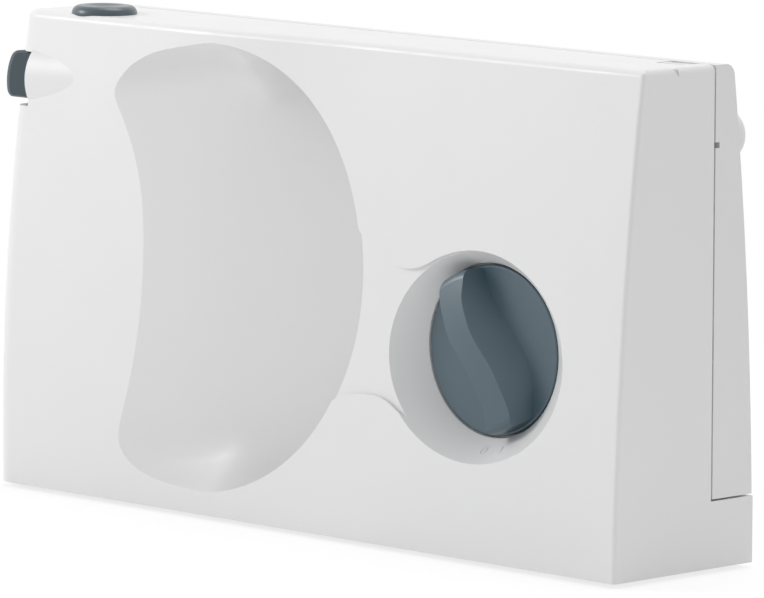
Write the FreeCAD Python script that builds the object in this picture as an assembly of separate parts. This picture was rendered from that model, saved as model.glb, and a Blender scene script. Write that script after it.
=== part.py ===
import FreeCAD, Part
import math
import os

os.makedirs("parts", exist_ok=True)
V = FreeCAD.Vector

# Overall body, millimetres, X along the length, Y from front to back, Z up
LENGTH = 344.0
DEPTH = 81.0
FOOT_HEIGHT = 2.0
BODY_HEIGHT = 195.0
TOP = FOOT_HEIGHT + BODY_HEIGHT
X_END = LENGTH / 2
Y_FRONT = -DEPTH / 2
Y_BACK = DEPTH / 2
END_DRAFT = 3.0
FRONT_LEAN = 15.1
FRONT_BELLY = 3.0
MOTOR_BULGE = 5.0
WALL = 2.6
CORNER_LEFT = 9.0
CORNER_RIGHT = 1.6
TOP_EDGE = 2.6
LEDGE = 28.2
GAP_PLANE = 15.2

# Clearances
PANEL_GAP = 0.2
SLIDE_FIT = 0.1
SHAFT_FIT = 0.03

# Blade and its drive
BLADE_X = -57.5
BLADE_Z = 100.0
BLADE_R = 85.0
BLADE_T = 1.4
BLADE_TEETH = 40
BLADE_FACE = GAP_PLANE - 0.4
BLADE_BACK = BLADE_FACE - BLADE_T
WELL_R = BLADE_R + 1.4
WELL_T = 2.4
WELL_BACK = BLADE_BACK - 3.8
SHAFT_R = 5.0
BUSH_R = 7.5
CAP_R = 22.0
CAP_H = 4.6
DRIVE_Y = -8.0
WHEEL_TEETH = 36
MODULE = 1.25
WHEEL_PITCH_R = WHEEL_TEETH * MODULE / 2
WHEEL_W = 8.0
WORM_PITCH_R = 5.0
WORM_LEAD = math.pi * MODULE
WORM_Z = BLADE_Z - WHEEL_PITCH_R - WORM_PITCH_R
MOTOR_R = 17.0
MOTOR_LEFT = -166.0
MOTOR_LEN = 48.0
MOTOR_RIGHT = MOTOR_LEFT + MOTOR_LEN
ROTOR_SHAFT_R = 2.5

# Slice recess in the front
SCOOP_R = BLADE_R + 3.9
SCOOP_TOP_R = SCOOP_R + 2.4
SCOOP_SKIN = 2.4
SHORE_X = BLADE_X - 28.0
SHORE_Z = BLADE_Z - 7.0
SCOOP_SLOPE = 0.37
SCOOP_RIM_SLOPE = 1.35
SCOOP_DEEPEST = WELL_BACK - SCOOP_SKIN - 0.3
SCOOP_COLUMNS = 33
SCOOP_ROWS = 27
SLOT_R = BLADE_R - 3.5

# Thickness dial
KNOB_X = 92.4
KNOB_Z = 82.2
KNOB_R = 33.55
KNOB_FACE = -24.1
KNOB_DISC_T = 3.2
GRIP_HEIGHT = 14.0
DISH_R = KNOB_R + 0.75
DISH_FLARE_X = 0.985
DISH_FLARE_Z = 0.55
DISH_DRIFT_X = 0.08
DISH_FLOOR = KNOB_FACE + KNOB_DISC_T + 0.4
DISH_SKIN = 2.5
KNOB_SHAFT_R = 6.0
GAUGE_TRAVEL = 12.0
KNOB_TURN = 300.0
DRUM_R = 21.0
DRUM_CORE_R = 17.0
PIN_R = 2.0

# Gauge plate beside the blade
GAUGE_T = 2.0
GAUGE_FACE = GAP_PLANE - 0.4
GAUGE_BACK = GAUGE_FACE - GAUGE_T
GAUGE_LEFT = -20.0
GAUGE_RIGHT = 147.0
GAUGE_BOTTOM = 22.0
GAUGE_TOP = 187.0
GAUGE_ARC_R = BLADE_R + 2.2
ROD_R = 3.0
RODS = [(126.0, 150.0), (126.0, 44.0)]

# Folding table, closed
TABLE_GAP = 0.8
TABLE_CLEAR = 0.8
TABLE_FACE = GAP_PLANE + TABLE_GAP
TABLE_BOTTOM = LEDGE + TABLE_CLEAR
TABLE_OUT_LOW = 39.2
TABLE_OUT_TOP = 26.3
TABLE_BELLY = 2.3
TABLE_EDGE = 5.0
TABLE_CORNER = 4.0
TABLE_WALL = 3.2
DECK_FACE = 23.5
DECK_T = 2.5
HINGE_Y = 35.0
HINGE_Z = 9.4
HINGE_PIN_R = 3.0
CHEEK_IN = 149.2
TONGUE_HALF = CHEEK_IN - 0.6
TONGUE_BOTTOM = 4.0
TABLE_FOOT_X = 153.0
TABLE_FOOT_Z = 167.5
TABLE_FOOT_R = 10.6
TABLE_FOOT_END = HINGE_Y + HINGE_Z - 0.2
TABLE_PAD_T = 1.2

# Food carriage, at its right-hand end
CARRIAGE_LEFT = 20.0
CARRIAGE_RIGHT = 158.0
CARRIAGE_BOTTOM = 30.0
CARRIAGE_TOP = 186.0
CARRIAGE_T = 2.8
FENCE_H = 3.2
GROOVE_Z = 108.0
GROOVE_W = 8.0

# Buttons
POWER_X = -134.6
POWER_Y = -16.0
POWER_R = 13.4
POWER_PROUD = 3.4
SIDE_Y0 = -29.0
SIDE_Y1 = -5.0
SIDE_Z0 = 160.2
SIDE_Z1 = 179.6
SIDE_PROUD = 8.5
SIDE_TRAVEL = 4.0
SIDE_BACK = -163.5
SIDE_STEM_Y = -17.0
SIDE_STEM_Z = 170.0
COIL_RUNS = 16

# Bridge between the recess and the dish, bounded by two S curves
BRIDGE_DEPTH = 1.6
UPPER_S = [(20.0, 134.0), (29.2, 123.4), (35.2, 118.1), (43.8, 113.8), (50.0, 112.0),
           (57.0, 111.7), (63.9, 113.3), (70.0, 116.2), (76.5, 118.6), (84.0, 120.4),
           (90.0, 120.0)]
LOWER_S = [(72.0, 46.6), (66.0, 48.8), (63.3, 51.2), (58.9, 53.8), (54.5, 56.1),
           (51.0, 58.1), (45.8, 60.0), (34.9, 60.2), (26.8, 59.0), (18.8, 55.3),
           (10.0, 44.0)]

# Tapered swelling that leads to the side button
BOSS_R = 18.0
BOSS_TIP_X = -136.0
BOSS_LEFT = SIDE_BACK + SIDE_TRAVEL
BOSS_RISE = 4.6

# Feet, screws and the cord's outlet. A foot gives x, y and its radius
FEET = [(-150.0, -22.0, 7.0), (150.0, -22.0, 7.0), (-156.7, 30.0, 4.2), (156.7, 30.0, 4.2)]
BASE_SCREWS = [(-140.0, -32.6), (60.0, -33.4), (134.0, -33.4)]
SHELL_SCREWS = [(-157.0, 18.0), (-160.0, 116.0), (30.0, 12.0), (158.0, 100.0),
                (60.0, 191.0), (158.0, 20.0), (158.0, 182.0), (-100.0, 191.0)]
DECK_SCREWS = [(-161.0, 50.0), (-161.0, 150.0), (160.4, 50.0), (160.4, 150.0),
               (0.0, 161.6)]
GLAND_X = 20.0
GLAND_Y = -15.0

# Sliding catch in the top of the upright
LATCH_X0 = 148.0
LATCH_X1 = 161.0
LATCH_TRAVEL = 2.6

# Parts that turn with the motor
ROTOR_R = 11.0
COMMUTATOR_R = 5.6

# Grip of the dial. Each row gives a height, the foot's right side and the crest's right side
RIDGE_TOP = KNOB_FACE - GRIP_HEIGHT
GRIP_R = KNOB_R - 1.15
GRIP_ROWS = [(34.0, -7.2, -8.4), (27.0, -3.8, -6.95), (21.0, -0.3, -6.65),
             (15.0, 4.7, -3.9), (9.4, 9.8, -0.6), (1.7, 15.95, 5.8), (-5.8, 19.85, 11.6),
             (-13.4, 21.45, 15.1), (-19.0, 21.8, 17.4), (-24.0, 22.0, 18.0),
             (-28.5, 21.8, 15.2), (-34.0, 21.0, 9.0)]

# Drum behind the dial and the pin in its groove
DRUM_Y0 = DISH_FLOOR + DISH_SKIN + 0.3
PIN_Y = DRUM_Y0 + PIN_R + 1.1 + GAUGE_TRAVEL
DRUM_Y1 = PIN_Y + PIN_R + 1.1

# Faces that follow from the sizes above
POWER_TOP = TOP + POWER_PROUD
CARRIAGE_FACE = DECK_FACE - 0.3 - CARRIAGE_T

# Ribs behind the table's deck, by x
RIB_XS = [-110.0, -40.0, 40.0, 110.0]

nodes = {}


def keep(name, shape):
    shape = shape.copy()
    shape.translate(V(SHIFT_X, SHIFT_Y, 0))
    nodes[name] = shape


def box(x0, x1, y0, y1, z0, z1):
    return Part.makeBox(x1 - x0, y1 - y0, z1 - z0, V(x0, y0, z0))


def rod_y(x, z, r, y0, y1):
    return Part.makeCylinder(r, y1 - y0, V(x, y0, z), V(0, 1, 0))


def rod_x(y, z, r, x0, x1):
    return Part.makeCylinder(r, x1 - x0, V(x0, y, z), V(1, 0, 0))


def rod_z(x, y, r, z0, z1):
    return Part.makeCylinder(r, z1 - z0, V(x, y, z0), V(0, 0, 1))


def join(first, others):
    return first.multiFuse(list(others)).removeSplitter()


def prism(points, direction):
    wire = Part.makePolygon([V(*p) for p in points] + [V(*points[0])])
    return Part.Face(wire).extrude(V(*direction))


def smooth(t):
    t = min(max(t, 0.0), 1.0)
    return t * t * (3 - 2 * t)


def grid_values(start, stop, count):
    return [start + (stop - start) * i / (count - 1) for i in range(count)]


# Lower of two values, blended where they are close
def soft_min(a, b, blend):
    low = min(a, b)
    return low - blend * math.log(math.exp((low - a) / blend) + math.exp((low - b) / blend))


# Front surface of the housing: leans back, bellied, fuller over the motor
def front_y(x, z):
    u = (z - FOOT_HEIGHT) / BODY_HEIGHT
    lean = FRONT_LEAN * u - 4 * FRONT_BELLY * u * (1 - u)
    bulge = MOTOR_BULGE * smooth((15 - x) / 90) * (1 - (1 - u) ** 3)
    return Y_FRONT + lean - bulge


def right_end(z):
    return X_END - END_DRAFT * (z - FOOT_HEIGHT) / BODY_HEIGHT


def left_end(z):
    return -right_end(z)


# Shift that puts the middle of the overall box on the origin
FRONT_MOST = min(front_y(-X_END, z) for z in grid_values(FOOT_HEIGHT, TOP, 196))
SHIFT_X = SIDE_PROUD / 2
SHIFT_Y = -(FRONT_MOST + TABLE_FOOT_END) / 2


# One level outline of the housing, drawn in by a given amount
def housing_outline(z, inset, back):
    left = left_end(z) + inset
    right = right_end(z) - inset
    r_left = max(CORNER_LEFT - inset, 3.0)
    r_right = max(CORNER_RIGHT - inset, 0.6)
    k = 1 - math.sqrt(0.5)
    y_left = front_y(left_end(z) + CORNER_LEFT, z) + inset
    y_right = front_y(right, z) + inset
    xs = grid_values(left + r_left, right - r_right, 12)
    points = [V(x, front_y(x, z) + inset, z) for x in xs]
    points[0].y = y_left
    points[-1].y = y_right
    curve = Part.BSplineCurve()
    curve.interpolate(points)
    corner_l = Part.Arc(V(left, y_left + r_left, z),
                        V(left + k * r_left, y_left + k * r_left, z),
                        points[0])
    corner_r = Part.Arc(points[-1],
                        V(right - k * r_right, y_right + k * r_right, z),
                        V(right, y_right + r_right, z))
    edges = [
        corner_l.toShape(),
        curve.toShape(),
        corner_r.toShape(),
        Part.makeLine(V(right, y_right + r_right, z), V(right, back, z)),
        Part.makeLine(V(right, back, z), V(left, back, z)),
        Part.makeLine(V(left, back, z), V(left, y_left + r_left, z)),
    ]
    return Part.Wire(edges)


def housing_block(inset, z0, z1, back, edge):
    levels = grid_values(z0, z1 - edge, 6)
    body = Part.makeLoft([housing_outline(z, inset, back) for z in levels], True)
    if edge > 0:
        rims = []
        for step in range(5):
            a = math.radians(22.5 * step)
            rims.append(housing_outline(z1 - edge + edge * math.sin(a),
                                        inset + edge * (1 - math.cos(a)), back))
        body = body.fuse(Part.makeLoft(rims, True))
    return body.removeSplitter()


# Everything in front of a height field over X and Z
def in_front_of(field, x0, x1, z0, z1, nx, nz):
    rows = []
    for x in grid_values(x0, x1, nx):
        rows.append([V(x, field(x, z), z) for z in grid_values(z0, z1, nz)])
    surface = Part.BSplineSurface()
    surface.interpolate(rows)
    return surface.toShape().extrude(V(0, -140, 0))


# Left shore of the slice recess, nearest the blade at mid height
def shore_x(z):
    if z > SHORE_Z:
        return SHORE_X - 22.5 * ((z - SHORE_Z) / 70.0) ** 2.7
    return SHORE_X - 14.5 * ((SHORE_Z - z) / 66.0) ** 1.95


# Floor of the recess: a ramp from the shore that rises again near the round rim
def recess_floor(x, z):
    run = x - shore_x(z)
    ramp = SCOOP_SLOPE * run + 0.0003 * run * abs(run)
    rise = z - BLADE_Z
    if rise > 0:
        rise *= SCOOP_R / SCOOP_TOP_R
    reach = math.hypot(x - BLADE_X, rise)
    side = (x - BLADE_X) / max(reach, 1.0)
    inside = SCOOP_R + 0.2 - reach + 36.0 * smooth((side - 0.1) / 0.55)
    y = front_y(x, z) + soft_min(ramp, SCOOP_RIM_SLOPE * inside, 4.5)
    return soft_min(y, SCOOP_DEEPEST, 3.0)


# Round rim of the recess, slightly taller above the blade's axis
def rim_block(grow, y0, y1):
    side = SCOOP_R + grow
    middle = V(BLADE_X, y0, BLADE_Z)
    ellipse = Part.Ellipse(middle + V(0, 0, SCOOP_TOP_R + grow), middle + V(side, 0, 0),
                           middle)
    upper = Part.ArcOfEllipse(ellipse, -math.pi / 2, math.pi / 2)
    lower = Part.Arc(middle - V(side, 0, 0), middle - V(0, 0, side), middle + V(side, 0, 0))
    wire = Part.Wire([upper.toShape(), lower.toShape()])
    return Part.Face(wire).extrude(V(0, y1 - y0, 0))


def recess_tool(skin):
    floor = in_front_of(lambda x, z: recess_floor(x, z) + skin,
                        -150.0, 45.0, 0.0, 200.0, SCOOP_COLUMNS, SCOOP_ROWS)
    return floor.common(rim_block(skin, -80, 20))


# Crescent through which the blade's edge shows in the recess
def blade_slot():
    ring = rim_block(0.0, -60, GAP_PLANE + 1).cut(
        rod_y(BLADE_X, BLADE_Z, SLOT_R, -70, GAP_PLANE + 2))
    return ring.common(sector_wedge(-60, GAP_PLANE + 1, 58))


def sector_wedge(y0, y1, half_angle):
    a = math.radians(half_angle)
    far = 160.0
    return prism([(BLADE_X, y0, BLADE_Z),
                  (BLADE_X + far * math.cos(a), y0, BLADE_Z - far * math.sin(a)),
                  (BLADE_X + far * math.cos(a), y0, BLADE_Z + far * math.sin(a))],
                 (0, y1 - y0, 0))


def ring_sector(r0, r1, y0, y1, half_angle):
    ring = rod_y(BLADE_X, BLADE_Z, r1, y0, y1).cut(
        rod_y(BLADE_X, BLADE_Z, r0, y0, y1))
    return ring.common(sector_wedge(y0, y1, half_angle))


def oval(x, y, z, half_x, half_z):
    points = []
    for i in range(32):
        a = 2 * math.pi * i / 32
        points.append(V(x + half_x * math.cos(a), y, z + half_z * math.sin(a)))
    curve = Part.BSplineCurve()
    curve.interpolate(points, True)
    return Part.Wire(curve.toShape())


# Round well behind the dial that flares into a wider oval at the front
def dish_tool(skin):
    grow = 1.2 * skin
    rings = []
    for out in (-0.6, KNOB_FACE + 60.0):
        rings.append(oval(KNOB_X + DISH_DRIFT_X * out, KNOB_FACE - out, KNOB_Z,
                          DISH_R + grow + DISH_FLARE_X * out,
                          DISH_R + grow + DISH_FLARE_Z * out))
    flare = Part.makeLoft(rings, True, True)
    well = rod_y(KNOB_X, KNOB_Z, DISH_R + grow, KNOB_FACE - 1.0, DISH_FLOOR + skin)
    return flare.fuse(well)


# Shallow bridge between the recess and the dish, bounded by two S curves


def bridge_tool():
    upper = Part.BSplineCurve()
    upper.interpolate([V(x, -60, z) for x, z in UPPER_S])
    lower = Part.BSplineCurve()
    lower.interpolate([V(x, -60, z) for x, z in LOWER_S])
    wire = Part.Wire([
        upper.toShape(),
        Part.makeLine(V(UPPER_S[-1][0], -60, UPPER_S[-1][1]),
                      V(LOWER_S[0][0], -60, LOWER_S[0][1])),
        lower.toShape(),
        Part.makeLine(V(LOWER_S[-1][0], -60, LOWER_S[-1][1]),
                      V(UPPER_S[0][0], -60, UPPER_S[0][1])),
    ])
    column = Part.Face(wire).extrude(V(0, 60, 0))
    lowered = in_front_of(lambda x, z: front_y(x, z) + BRIDGE_DEPTH,
                          -20.0, 140.0, 20.0, 160.0, 9, 9)
    return column.common(lowered)


# Tapered swelling that leads to the side button


def side_boss():
    z = (SIDE_Z0 + SIDE_Z1) / 2 - 0.8
    length = 60.0
    slope = math.atan(BOSS_RISE / (BOSS_TIP_X + X_END))
    direction = V(-math.cos(slope), -math.sin(slope), 0)
    start_y = front_y(BOSS_TIP_X, z) + BOSS_R
    back = 25.0
    start = V(BOSS_TIP_X + back * math.cos(slope), start_y + back * math.sin(slope), z)
    cylinder = Part.makeCylinder(BOSS_R, length, start, direction)
    return cylinder.common(box(BOSS_LEFT, -100, -60, -16, 100, 197))


def side_slot():
    pocket = box(-X_END - 5, BOSS_LEFT, -60, SIDE_Y1 + 0.6,
                 SIDE_Z0 - 2.2, SIDE_Z1 + 0.6)
    return pocket


def cheek(side):
    outer = [(side * CHEEK_IN, GAP_PLANE - 1, FOOT_HEIGHT),
             (side * X_END, GAP_PLANE - 1, FOOT_HEIGHT),
             (side * (right_end(LEDGE) if side > 0 else X_END), GAP_PLANE - 1, LEDGE),
             (side * CHEEK_IN, GAP_PLANE - 1, LEDGE)]
    block = prism(outer, (0, Y_BACK - GAP_PLANE + 1, 0))
    edges = []
    for edge in block.Edges:
        a, b = edge.Vertexes[0].Point, edge.Vertexes[-1].Point
        if abs(a.y - Y_BACK) < 0.01 and abs(b.y - Y_BACK) < 0.01:
            if abs(a.z - LEDGE) < 0.01 and abs(b.z - LEDGE) < 0.01:
                edges.append(edge)
            if abs(a.z - b.z) > 1 and abs(a.x) > CHEEK_IN + 1:
                edges.append(edge)
    block = block.makeFillet(1.0, edges)
    x0, x1 = sorted((side * (CHEEK_IN + WALL), side * (X_END - WALL - 0.6)))
    hollow = box(x0, x1, GAP_PLANE - 4, Y_BACK - WALL, 0, LEDGE - WALL)
    return block, hollow


# Front shell: leaning face, recess, dial dish, bridge, button seats, base cheeks
def housing_shell():
    outer = housing_block(0.0, FOOT_HEIGHT, TOP, GAP_PLANE, TOP_EDGE)
    cavity = housing_block(WALL, FOOT_HEIGHT - 4, TOP - WALL, GAP_PLANE + 4, 0.0)
    cheeks = [cheek(1), cheek(-1)]
    outer = join(outer, [c[0] for c in cheeks])
    boss = side_boss()
    outer = outer.fuse(boss)
    shell = outer.cut(cavity)
    for block, hollow in cheeks:
        shell = shell.cut(hollow)
    inner = [recess_tool(SCOOP_SKIN), dish_tool(DISH_SKIN)]
    inner.append(side_boss_core())
    inner += rod_guides()
    inner += screw_towers()
    ribs = [piece.common(outer) for piece in inner]
    shell = shell.multiFuse(ribs)
    cuts = [recess_tool(0.0), dish_tool(0.0), bridge_tool(), side_slot()]
    cuts.append(gauge_space())
    cuts.append(blade_slot())
    cuts.append(rod_z(POWER_X, POWER_Y, POWER_R + 0.1, TOP - 10, TOP + 10))
    cuts.append(rod_y(KNOB_X, KNOB_Z, KNOB_SHAFT_R + SHAFT_FIT, -60, 0))
    cuts += latch_recess()
    cuts += rod_guide_bores()
    cuts += screw_bores()
    cuts += cheek_bores()
    cuts.append(box(-CHEEK_IN, CHEEK_IN, GAP_PLANE, 60, 0, TABLE_BOTTOM))
    cuts.append(box(-X_END - 20, X_END + 20, GAP_PLANE, 60, LEDGE, TOP + 20))
    cuts.append(end_nick())
    shell = shell.cut(Part.makeCompound(cuts))
    return biggest(shell.removeSplitter())


def biggest(shape):
    solids = sorted(shape.Solids, key=lambda s: s.Volume)
    return solids[-1]


# Guide wall for the side button's stem
def side_boss_core():
    return box(BOSS_LEFT + 1.1, BOSS_LEFT + 3.5, -34.0, -8.6, SIDE_Z0 - 3, SIDE_Z1 + 3)


def gauge_space():
    space = box(GAUGE_LEFT - 0.8, GAUGE_RIGHT + 0.8, -3.2, GAP_PLANE + 1,
                GAUGE_BOTTOM - 0.8, GAUGE_TOP + 0.8)
    return space.cut(rod_y(BLADE_X, BLADE_Z, GAUGE_ARC_R - 0.5, -10, 20))


def rod_guides():
    towers = [rod_y(x, z, 7.0, -45, -4.0) for x, z in RODS]
    return towers + [rod_z(x, y, 4.4, FOOT_HEIGHT + 2.7, 22.0) for x, y in BASE_SCREWS]


def rod_guide_bores():
    bores = [rod_y(x, z, 5.0, front_y(x, z) + WALL + 0.4, 0) for x, z in RODS]
    return bores + [rod_z(x, y, 1.6, 0, 14.0) for x, y in BASE_SCREWS]


def screw_towers():
    return [rod_y(x, z, 4.4, -45, GAP_PLANE - 2.5) for x, z in SHELL_SCREWS]


def screw_bores():
    return [rod_y(x, z, 1.6, 0, 20) for x, z in SHELL_SCREWS]


def cheek_bores():
    bores = []
    for side in (-1, 1):
        x0, x1 = sorted((side * (CHEEK_IN - 2), side * (CHEEK_IN + WALL + 1)))
        bores.append(rod_x(HINGE_Y, HINGE_Z, HINGE_PIN_R, x0, x1))
    return bores


def latch_recess():
    return [box(LATCH_X0 - 0.3, LATCH_X1 + 0.3, 5.0, 20, TOP - 8, TOP + 5)]


# Small nick in the top edge of the right end
def end_nick():
    x0, x1 = right_end(TOP) - 1.2, right_end(TOP) + 2
    tri = [(x0, -8.9, TOP + 0.5), (x0, -5.6, TOP - 3.4), (x0, -5.4, TOP + 0.5)]
    return prism(tri, (x1 - x0, 0, 0))


# Panel that closes the back of the upright, with the well behind the blade
def rear_wall():
    low = FOOT_HEIGHT + 3.0
    high = TOP - WALL - PANEL_GAP
    inset = WALL + PANEL_GAP
    outline = [(left_end(low) + inset, GAP_PLANE - 2.5, low),
               (right_end(low) - inset, GAP_PLANE - 2.5, low),
               (right_end(high) - inset, GAP_PLANE - 2.5, high),
               (left_end(high) + inset, GAP_PLANE - 2.5, high)]
    panel = prism(outline, (0, 2.5, 0))
    window = box(GAUGE_LEFT - 0.5, GAUGE_RIGHT + 0.5, 0, 20,
                 GAUGE_BOTTOM - 0.5, GAUGE_TOP + 0.5)
    panel = panel.cut(window).cut(rod_y(BLADE_X, BLADE_Z, WELL_R, 0, 20))
    well = rod_y(BLADE_X, BLADE_Z, WELL_R + 2.0, WELL_BACK, GAP_PLANE - 1.0)
    well = well.cut(rod_y(BLADE_X, BLADE_Z, WELL_R, WELL_BACK + WELL_T, 20))
    well = well.cut(box(GAUGE_LEFT - 0.8, 60, 0, 20, 0, 200).cut(
        rod_y(BLADE_X, BLADE_Z, GAUGE_ARC_R - 0.5, -10, 30)))
    well = well.cut(ring_sector(SLOT_R, WELL_R + 8, 0, 20, 58))
    boss = rod_y(BLADE_X, BLADE_Z, BUSH_R + 2.5, -1.0, WELL_BACK + 0.5)
    wall = panel.multiFuse([well, boss])
    wall = wall.cut(rod_y(BLADE_X, BLADE_Z, BUSH_R, -5, 20))
    for x, z in SHELL_SCREWS:
        wall = wall.cut(rod_y(x, z, 2.1, 0, 20))
    wall = wall.cut(box(LATCH_X0 - 1, LATCH_X1 + 1, 0, 20, TOP - 9, TOP))
    return biggest(wall.removeSplitter())


def base_plate():
    z0 = FOOT_HEIGHT + 0.2
    z1 = z0 + 2.5
    inset = WALL + PANEL_GAP
    wire_low = housing_outline(z0, inset, GAP_PLANE - 0.1)
    plate = Part.Face(wire_low).extrude(V(0, 0, z1 - z0))
    shelf = box(-CHEEK_IN + 0.3, CHEEK_IN - 0.3, GAP_PLANE + 0.7, GAP_PLANE + 6.2, z0, 20)
    shelf = shelf.cut(box(-CHEEK_IN + 4, CHEEK_IN - 4, GAP_PLANE + 2.7, GAP_PLANE + 4.2,
                          0, 18))
    step = box(-CHEEK_IN + 0.3, CHEEK_IN - 0.3, GAP_PLANE - 1, GAP_PLANE + 1.5, z0, z1)
    plate = plate.multiFuse([shelf, step])
    for side in (-1, 1):
        x0, x1 = sorted((side * (CHEEK_IN + WALL + 0.3), side * (X_END - WALL - 0.9)))
        plate = plate.fuse(box(x0, x1, GAP_PLANE - 1, Y_BACK - WALL - 0.3, z0, z1))
    for x, y, r in FEET:
        plate = plate.cut(rod_z(x, y, 3.0, 0, 10))
    for x, y in BASE_SCREWS:
        plate = plate.cut(rod_z(x, y, 1.8, 0, 10))
    for i in range(9):
        x = -142.0 + 5.0 * i
        plate = plate.cut(box(x, x + 2.2, -24, 8, 0, 10))
    plate = plate.cut(rod_z(GLAND_X, GLAND_Y, 5.0, 0, 10))
    return biggest(plate.removeSplitter())


def rubber_feet():
    feet = []
    for x, y, r in FEET:
        pad = rod_z(x, y, r, 0, FOOT_HEIGHT + 0.2)
        pad = pad.makeChamfer(0.5, [e for e in pad.Edges if e.BoundBox.ZMax < 0.01])
        stem = rod_z(x, y, 3.0, FOOT_HEIGHT, FOOT_HEIGHT + 2.7)
        head = rod_z(x, y, 4.0, FOOT_HEIGHT + 2.7, FOOT_HEIGHT + 3.9)
        feet.append(pad.multiFuse([stem, head]).removeSplitter())
    return Part.makeCompound(feet)


def screw(position, direction, length, head_r, shank_r, head_h):
    d = V(*direction)
    head = Part.makeCylinder(head_r, head_h, V(*position), d)
    shank = Part.makeCylinder(shank_r, length, V(*position) + d * (head_h - 0.1), d)
    return head.fuse(shank).removeSplitter()


def shell_screws():
    return Part.makeCompound([
        screw((x, GAP_PLANE + 0.3, z), (0, -1, 0), 9.0, 2.9, 1.6, 0.3)
        for x, z in SHELL_SCREWS])


def base_screws():
    return Part.makeCompound([
        screw((x, y, FOOT_HEIGHT - 0.2), (0, 0, 1), 8.0, 3.0, 1.6, 0.4)
        for x, y in BASE_SCREWS])


# Cutting disc with scalloped edge, ground towards the rear face
def blade():
    rough = []
    for i in range(BLADE_TEETH * 2):
        a = 2 * math.pi * i / (BLADE_TEETH * 2)
        r = BLADE_R if i % 2 == 0 else BLADE_R - 1.6
        rough.append((BLADE_X + r * math.cos(a), BLADE_BACK, BLADE_Z + r * math.sin(a)))
    disc = prism(rough, (0, BLADE_T, 0))
    bevel = Part.makeCone(BLADE_R - 8, BLADE_R + 1.0, BLADE_T - 0.2,
                          V(BLADE_X, BLADE_BACK, BLADE_Z), V(0, 1, 0))
    lip = rod_y(BLADE_X, BLADE_Z, BLADE_R + 1, BLADE_FACE - 0.2, BLADE_FACE)
    disc = disc.common(bevel.fuse(lip))
    disc = disc.cut(rod_y(BLADE_X, BLADE_Z, 9.0, 0, 20))
    for i in range(6):
        a = math.radians(60 * i + 30)
        disc = disc.cut(rod_y(BLADE_X + 52 * math.cos(a), BLADE_Z + 52 * math.sin(a),
                              4.0, 0, 20))
    return disc.removeSplitter()


def blade_hub():
    shaft = rod_y(BLADE_X, BLADE_Z, SHAFT_R, DRIVE_Y - WHEEL_W / 2 - 1.5, BLADE_BACK)
    flange = rod_y(BLADE_X, BLADE_Z, 20.0, BLADE_BACK - 1.2, BLADE_BACK)
    spigot = rod_y(BLADE_X, BLADE_Z, 8.97, BLADE_BACK, BLADE_FACE)
    return join(shaft, [flange, spigot])


def blade_cap():
    y0 = BLADE_FACE
    cap = rod_y(BLADE_X, BLADE_Z, CAP_R, y0, y0 + CAP_H)
    cap = cap.makeFillet(1.6, [e for e in cap.Edges
                               if e.BoundBox.YMin > y0 + CAP_H - 0.1])
    groove = Part.makeCylinder(9.0, 60, V(BLADE_X - 30, y0 + CAP_H + 6.0, BLADE_Z + 13),
                               V(1, 0, 0))
    other = Part.makeCylinder(9.0, 60, V(BLADE_X - 30, y0 + CAP_H + 6.0, BLADE_Z - 13),
                              V(1, 0, 0))
    return cap.cut(groove).cut(other)


def bearing_bush():
    tube = rod_y(BLADE_X, BLADE_Z, BUSH_R, -1.4, WELL_BACK + WELL_T - 0.4)
    return tube.cut(rod_y(BLADE_X, BLADE_Z, SHAFT_R + SHAFT_FIT, -5, 20))


# Helical teeth as twisted slices, so that they follow the worm's lead
def worm_wheel():
    root = WHEEL_PITCH_R - 1.1 * MODULE
    tip = WHEEL_PITCH_R + 0.8 * MODULE
    y0 = DRIVE_Y - WHEEL_W / 2
    twist = math.degrees(math.tan(WORM_LEAD / (2 * math.pi * WORM_PITCH_R))
                         * WHEEL_W / WHEEL_PITCH_R)
    pitch = 2 * math.pi / WHEEL_TEETH
    low, high = 0.17 * pitch, 0.09 * pitch
    first = -math.pi / 2 + pitch / 2

    def outline(y, turn):
        points = []
        for i in range(WHEEL_TEETH):
            c = first + i * pitch + math.radians(turn)
            for r, off in ((root, -low), (tip, -high), (tip, high), (root, low)):
                points.append(V(BLADE_X + r * math.cos(c + off), y,
                                BLADE_Z + r * math.sin(c + off)))
        return Part.makePolygon(points + [points[0]])

    wheel = Part.makeLoft([outline(y0, -twist / 2), outline(y0 + WHEEL_W, twist / 2)],
                          True, True)
    wheel = wheel.cut(rod_y(BLADE_X, BLADE_Z, SHAFT_R, -40, 20))
    web = rod_y(BLADE_X, BLADE_Z, 18.0, y0 - 1, y0 + 2.0).cut(
        rod_y(BLADE_X, BLADE_Z, 9.0, y0 - 2, y0 + 3))
    return wheel.cut(web)


# Thread made of turning trapezium sections about the motor axis
def thread_sections(x0, x1, core, tip, base_w, tip_w, lead, phase):
    steps = int((x1 - x0) / lead * 14)
    wires = []
    for i in range(steps + 1):
        x = x0 + (x1 - x0) * i / steps
        a = phase + 2 * math.pi * (x - x0) / lead
        points = []
        for r, off in ((core, -base_w), (tip, -tip_w), (tip, tip_w), (core, base_w)):
            points.append(V(x + off, DRIVE_Y + r * math.cos(a), WORM_Z + r * math.sin(a)))
        wires.append(Part.makePolygon(points + [points[0]]))
    return wires


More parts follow.
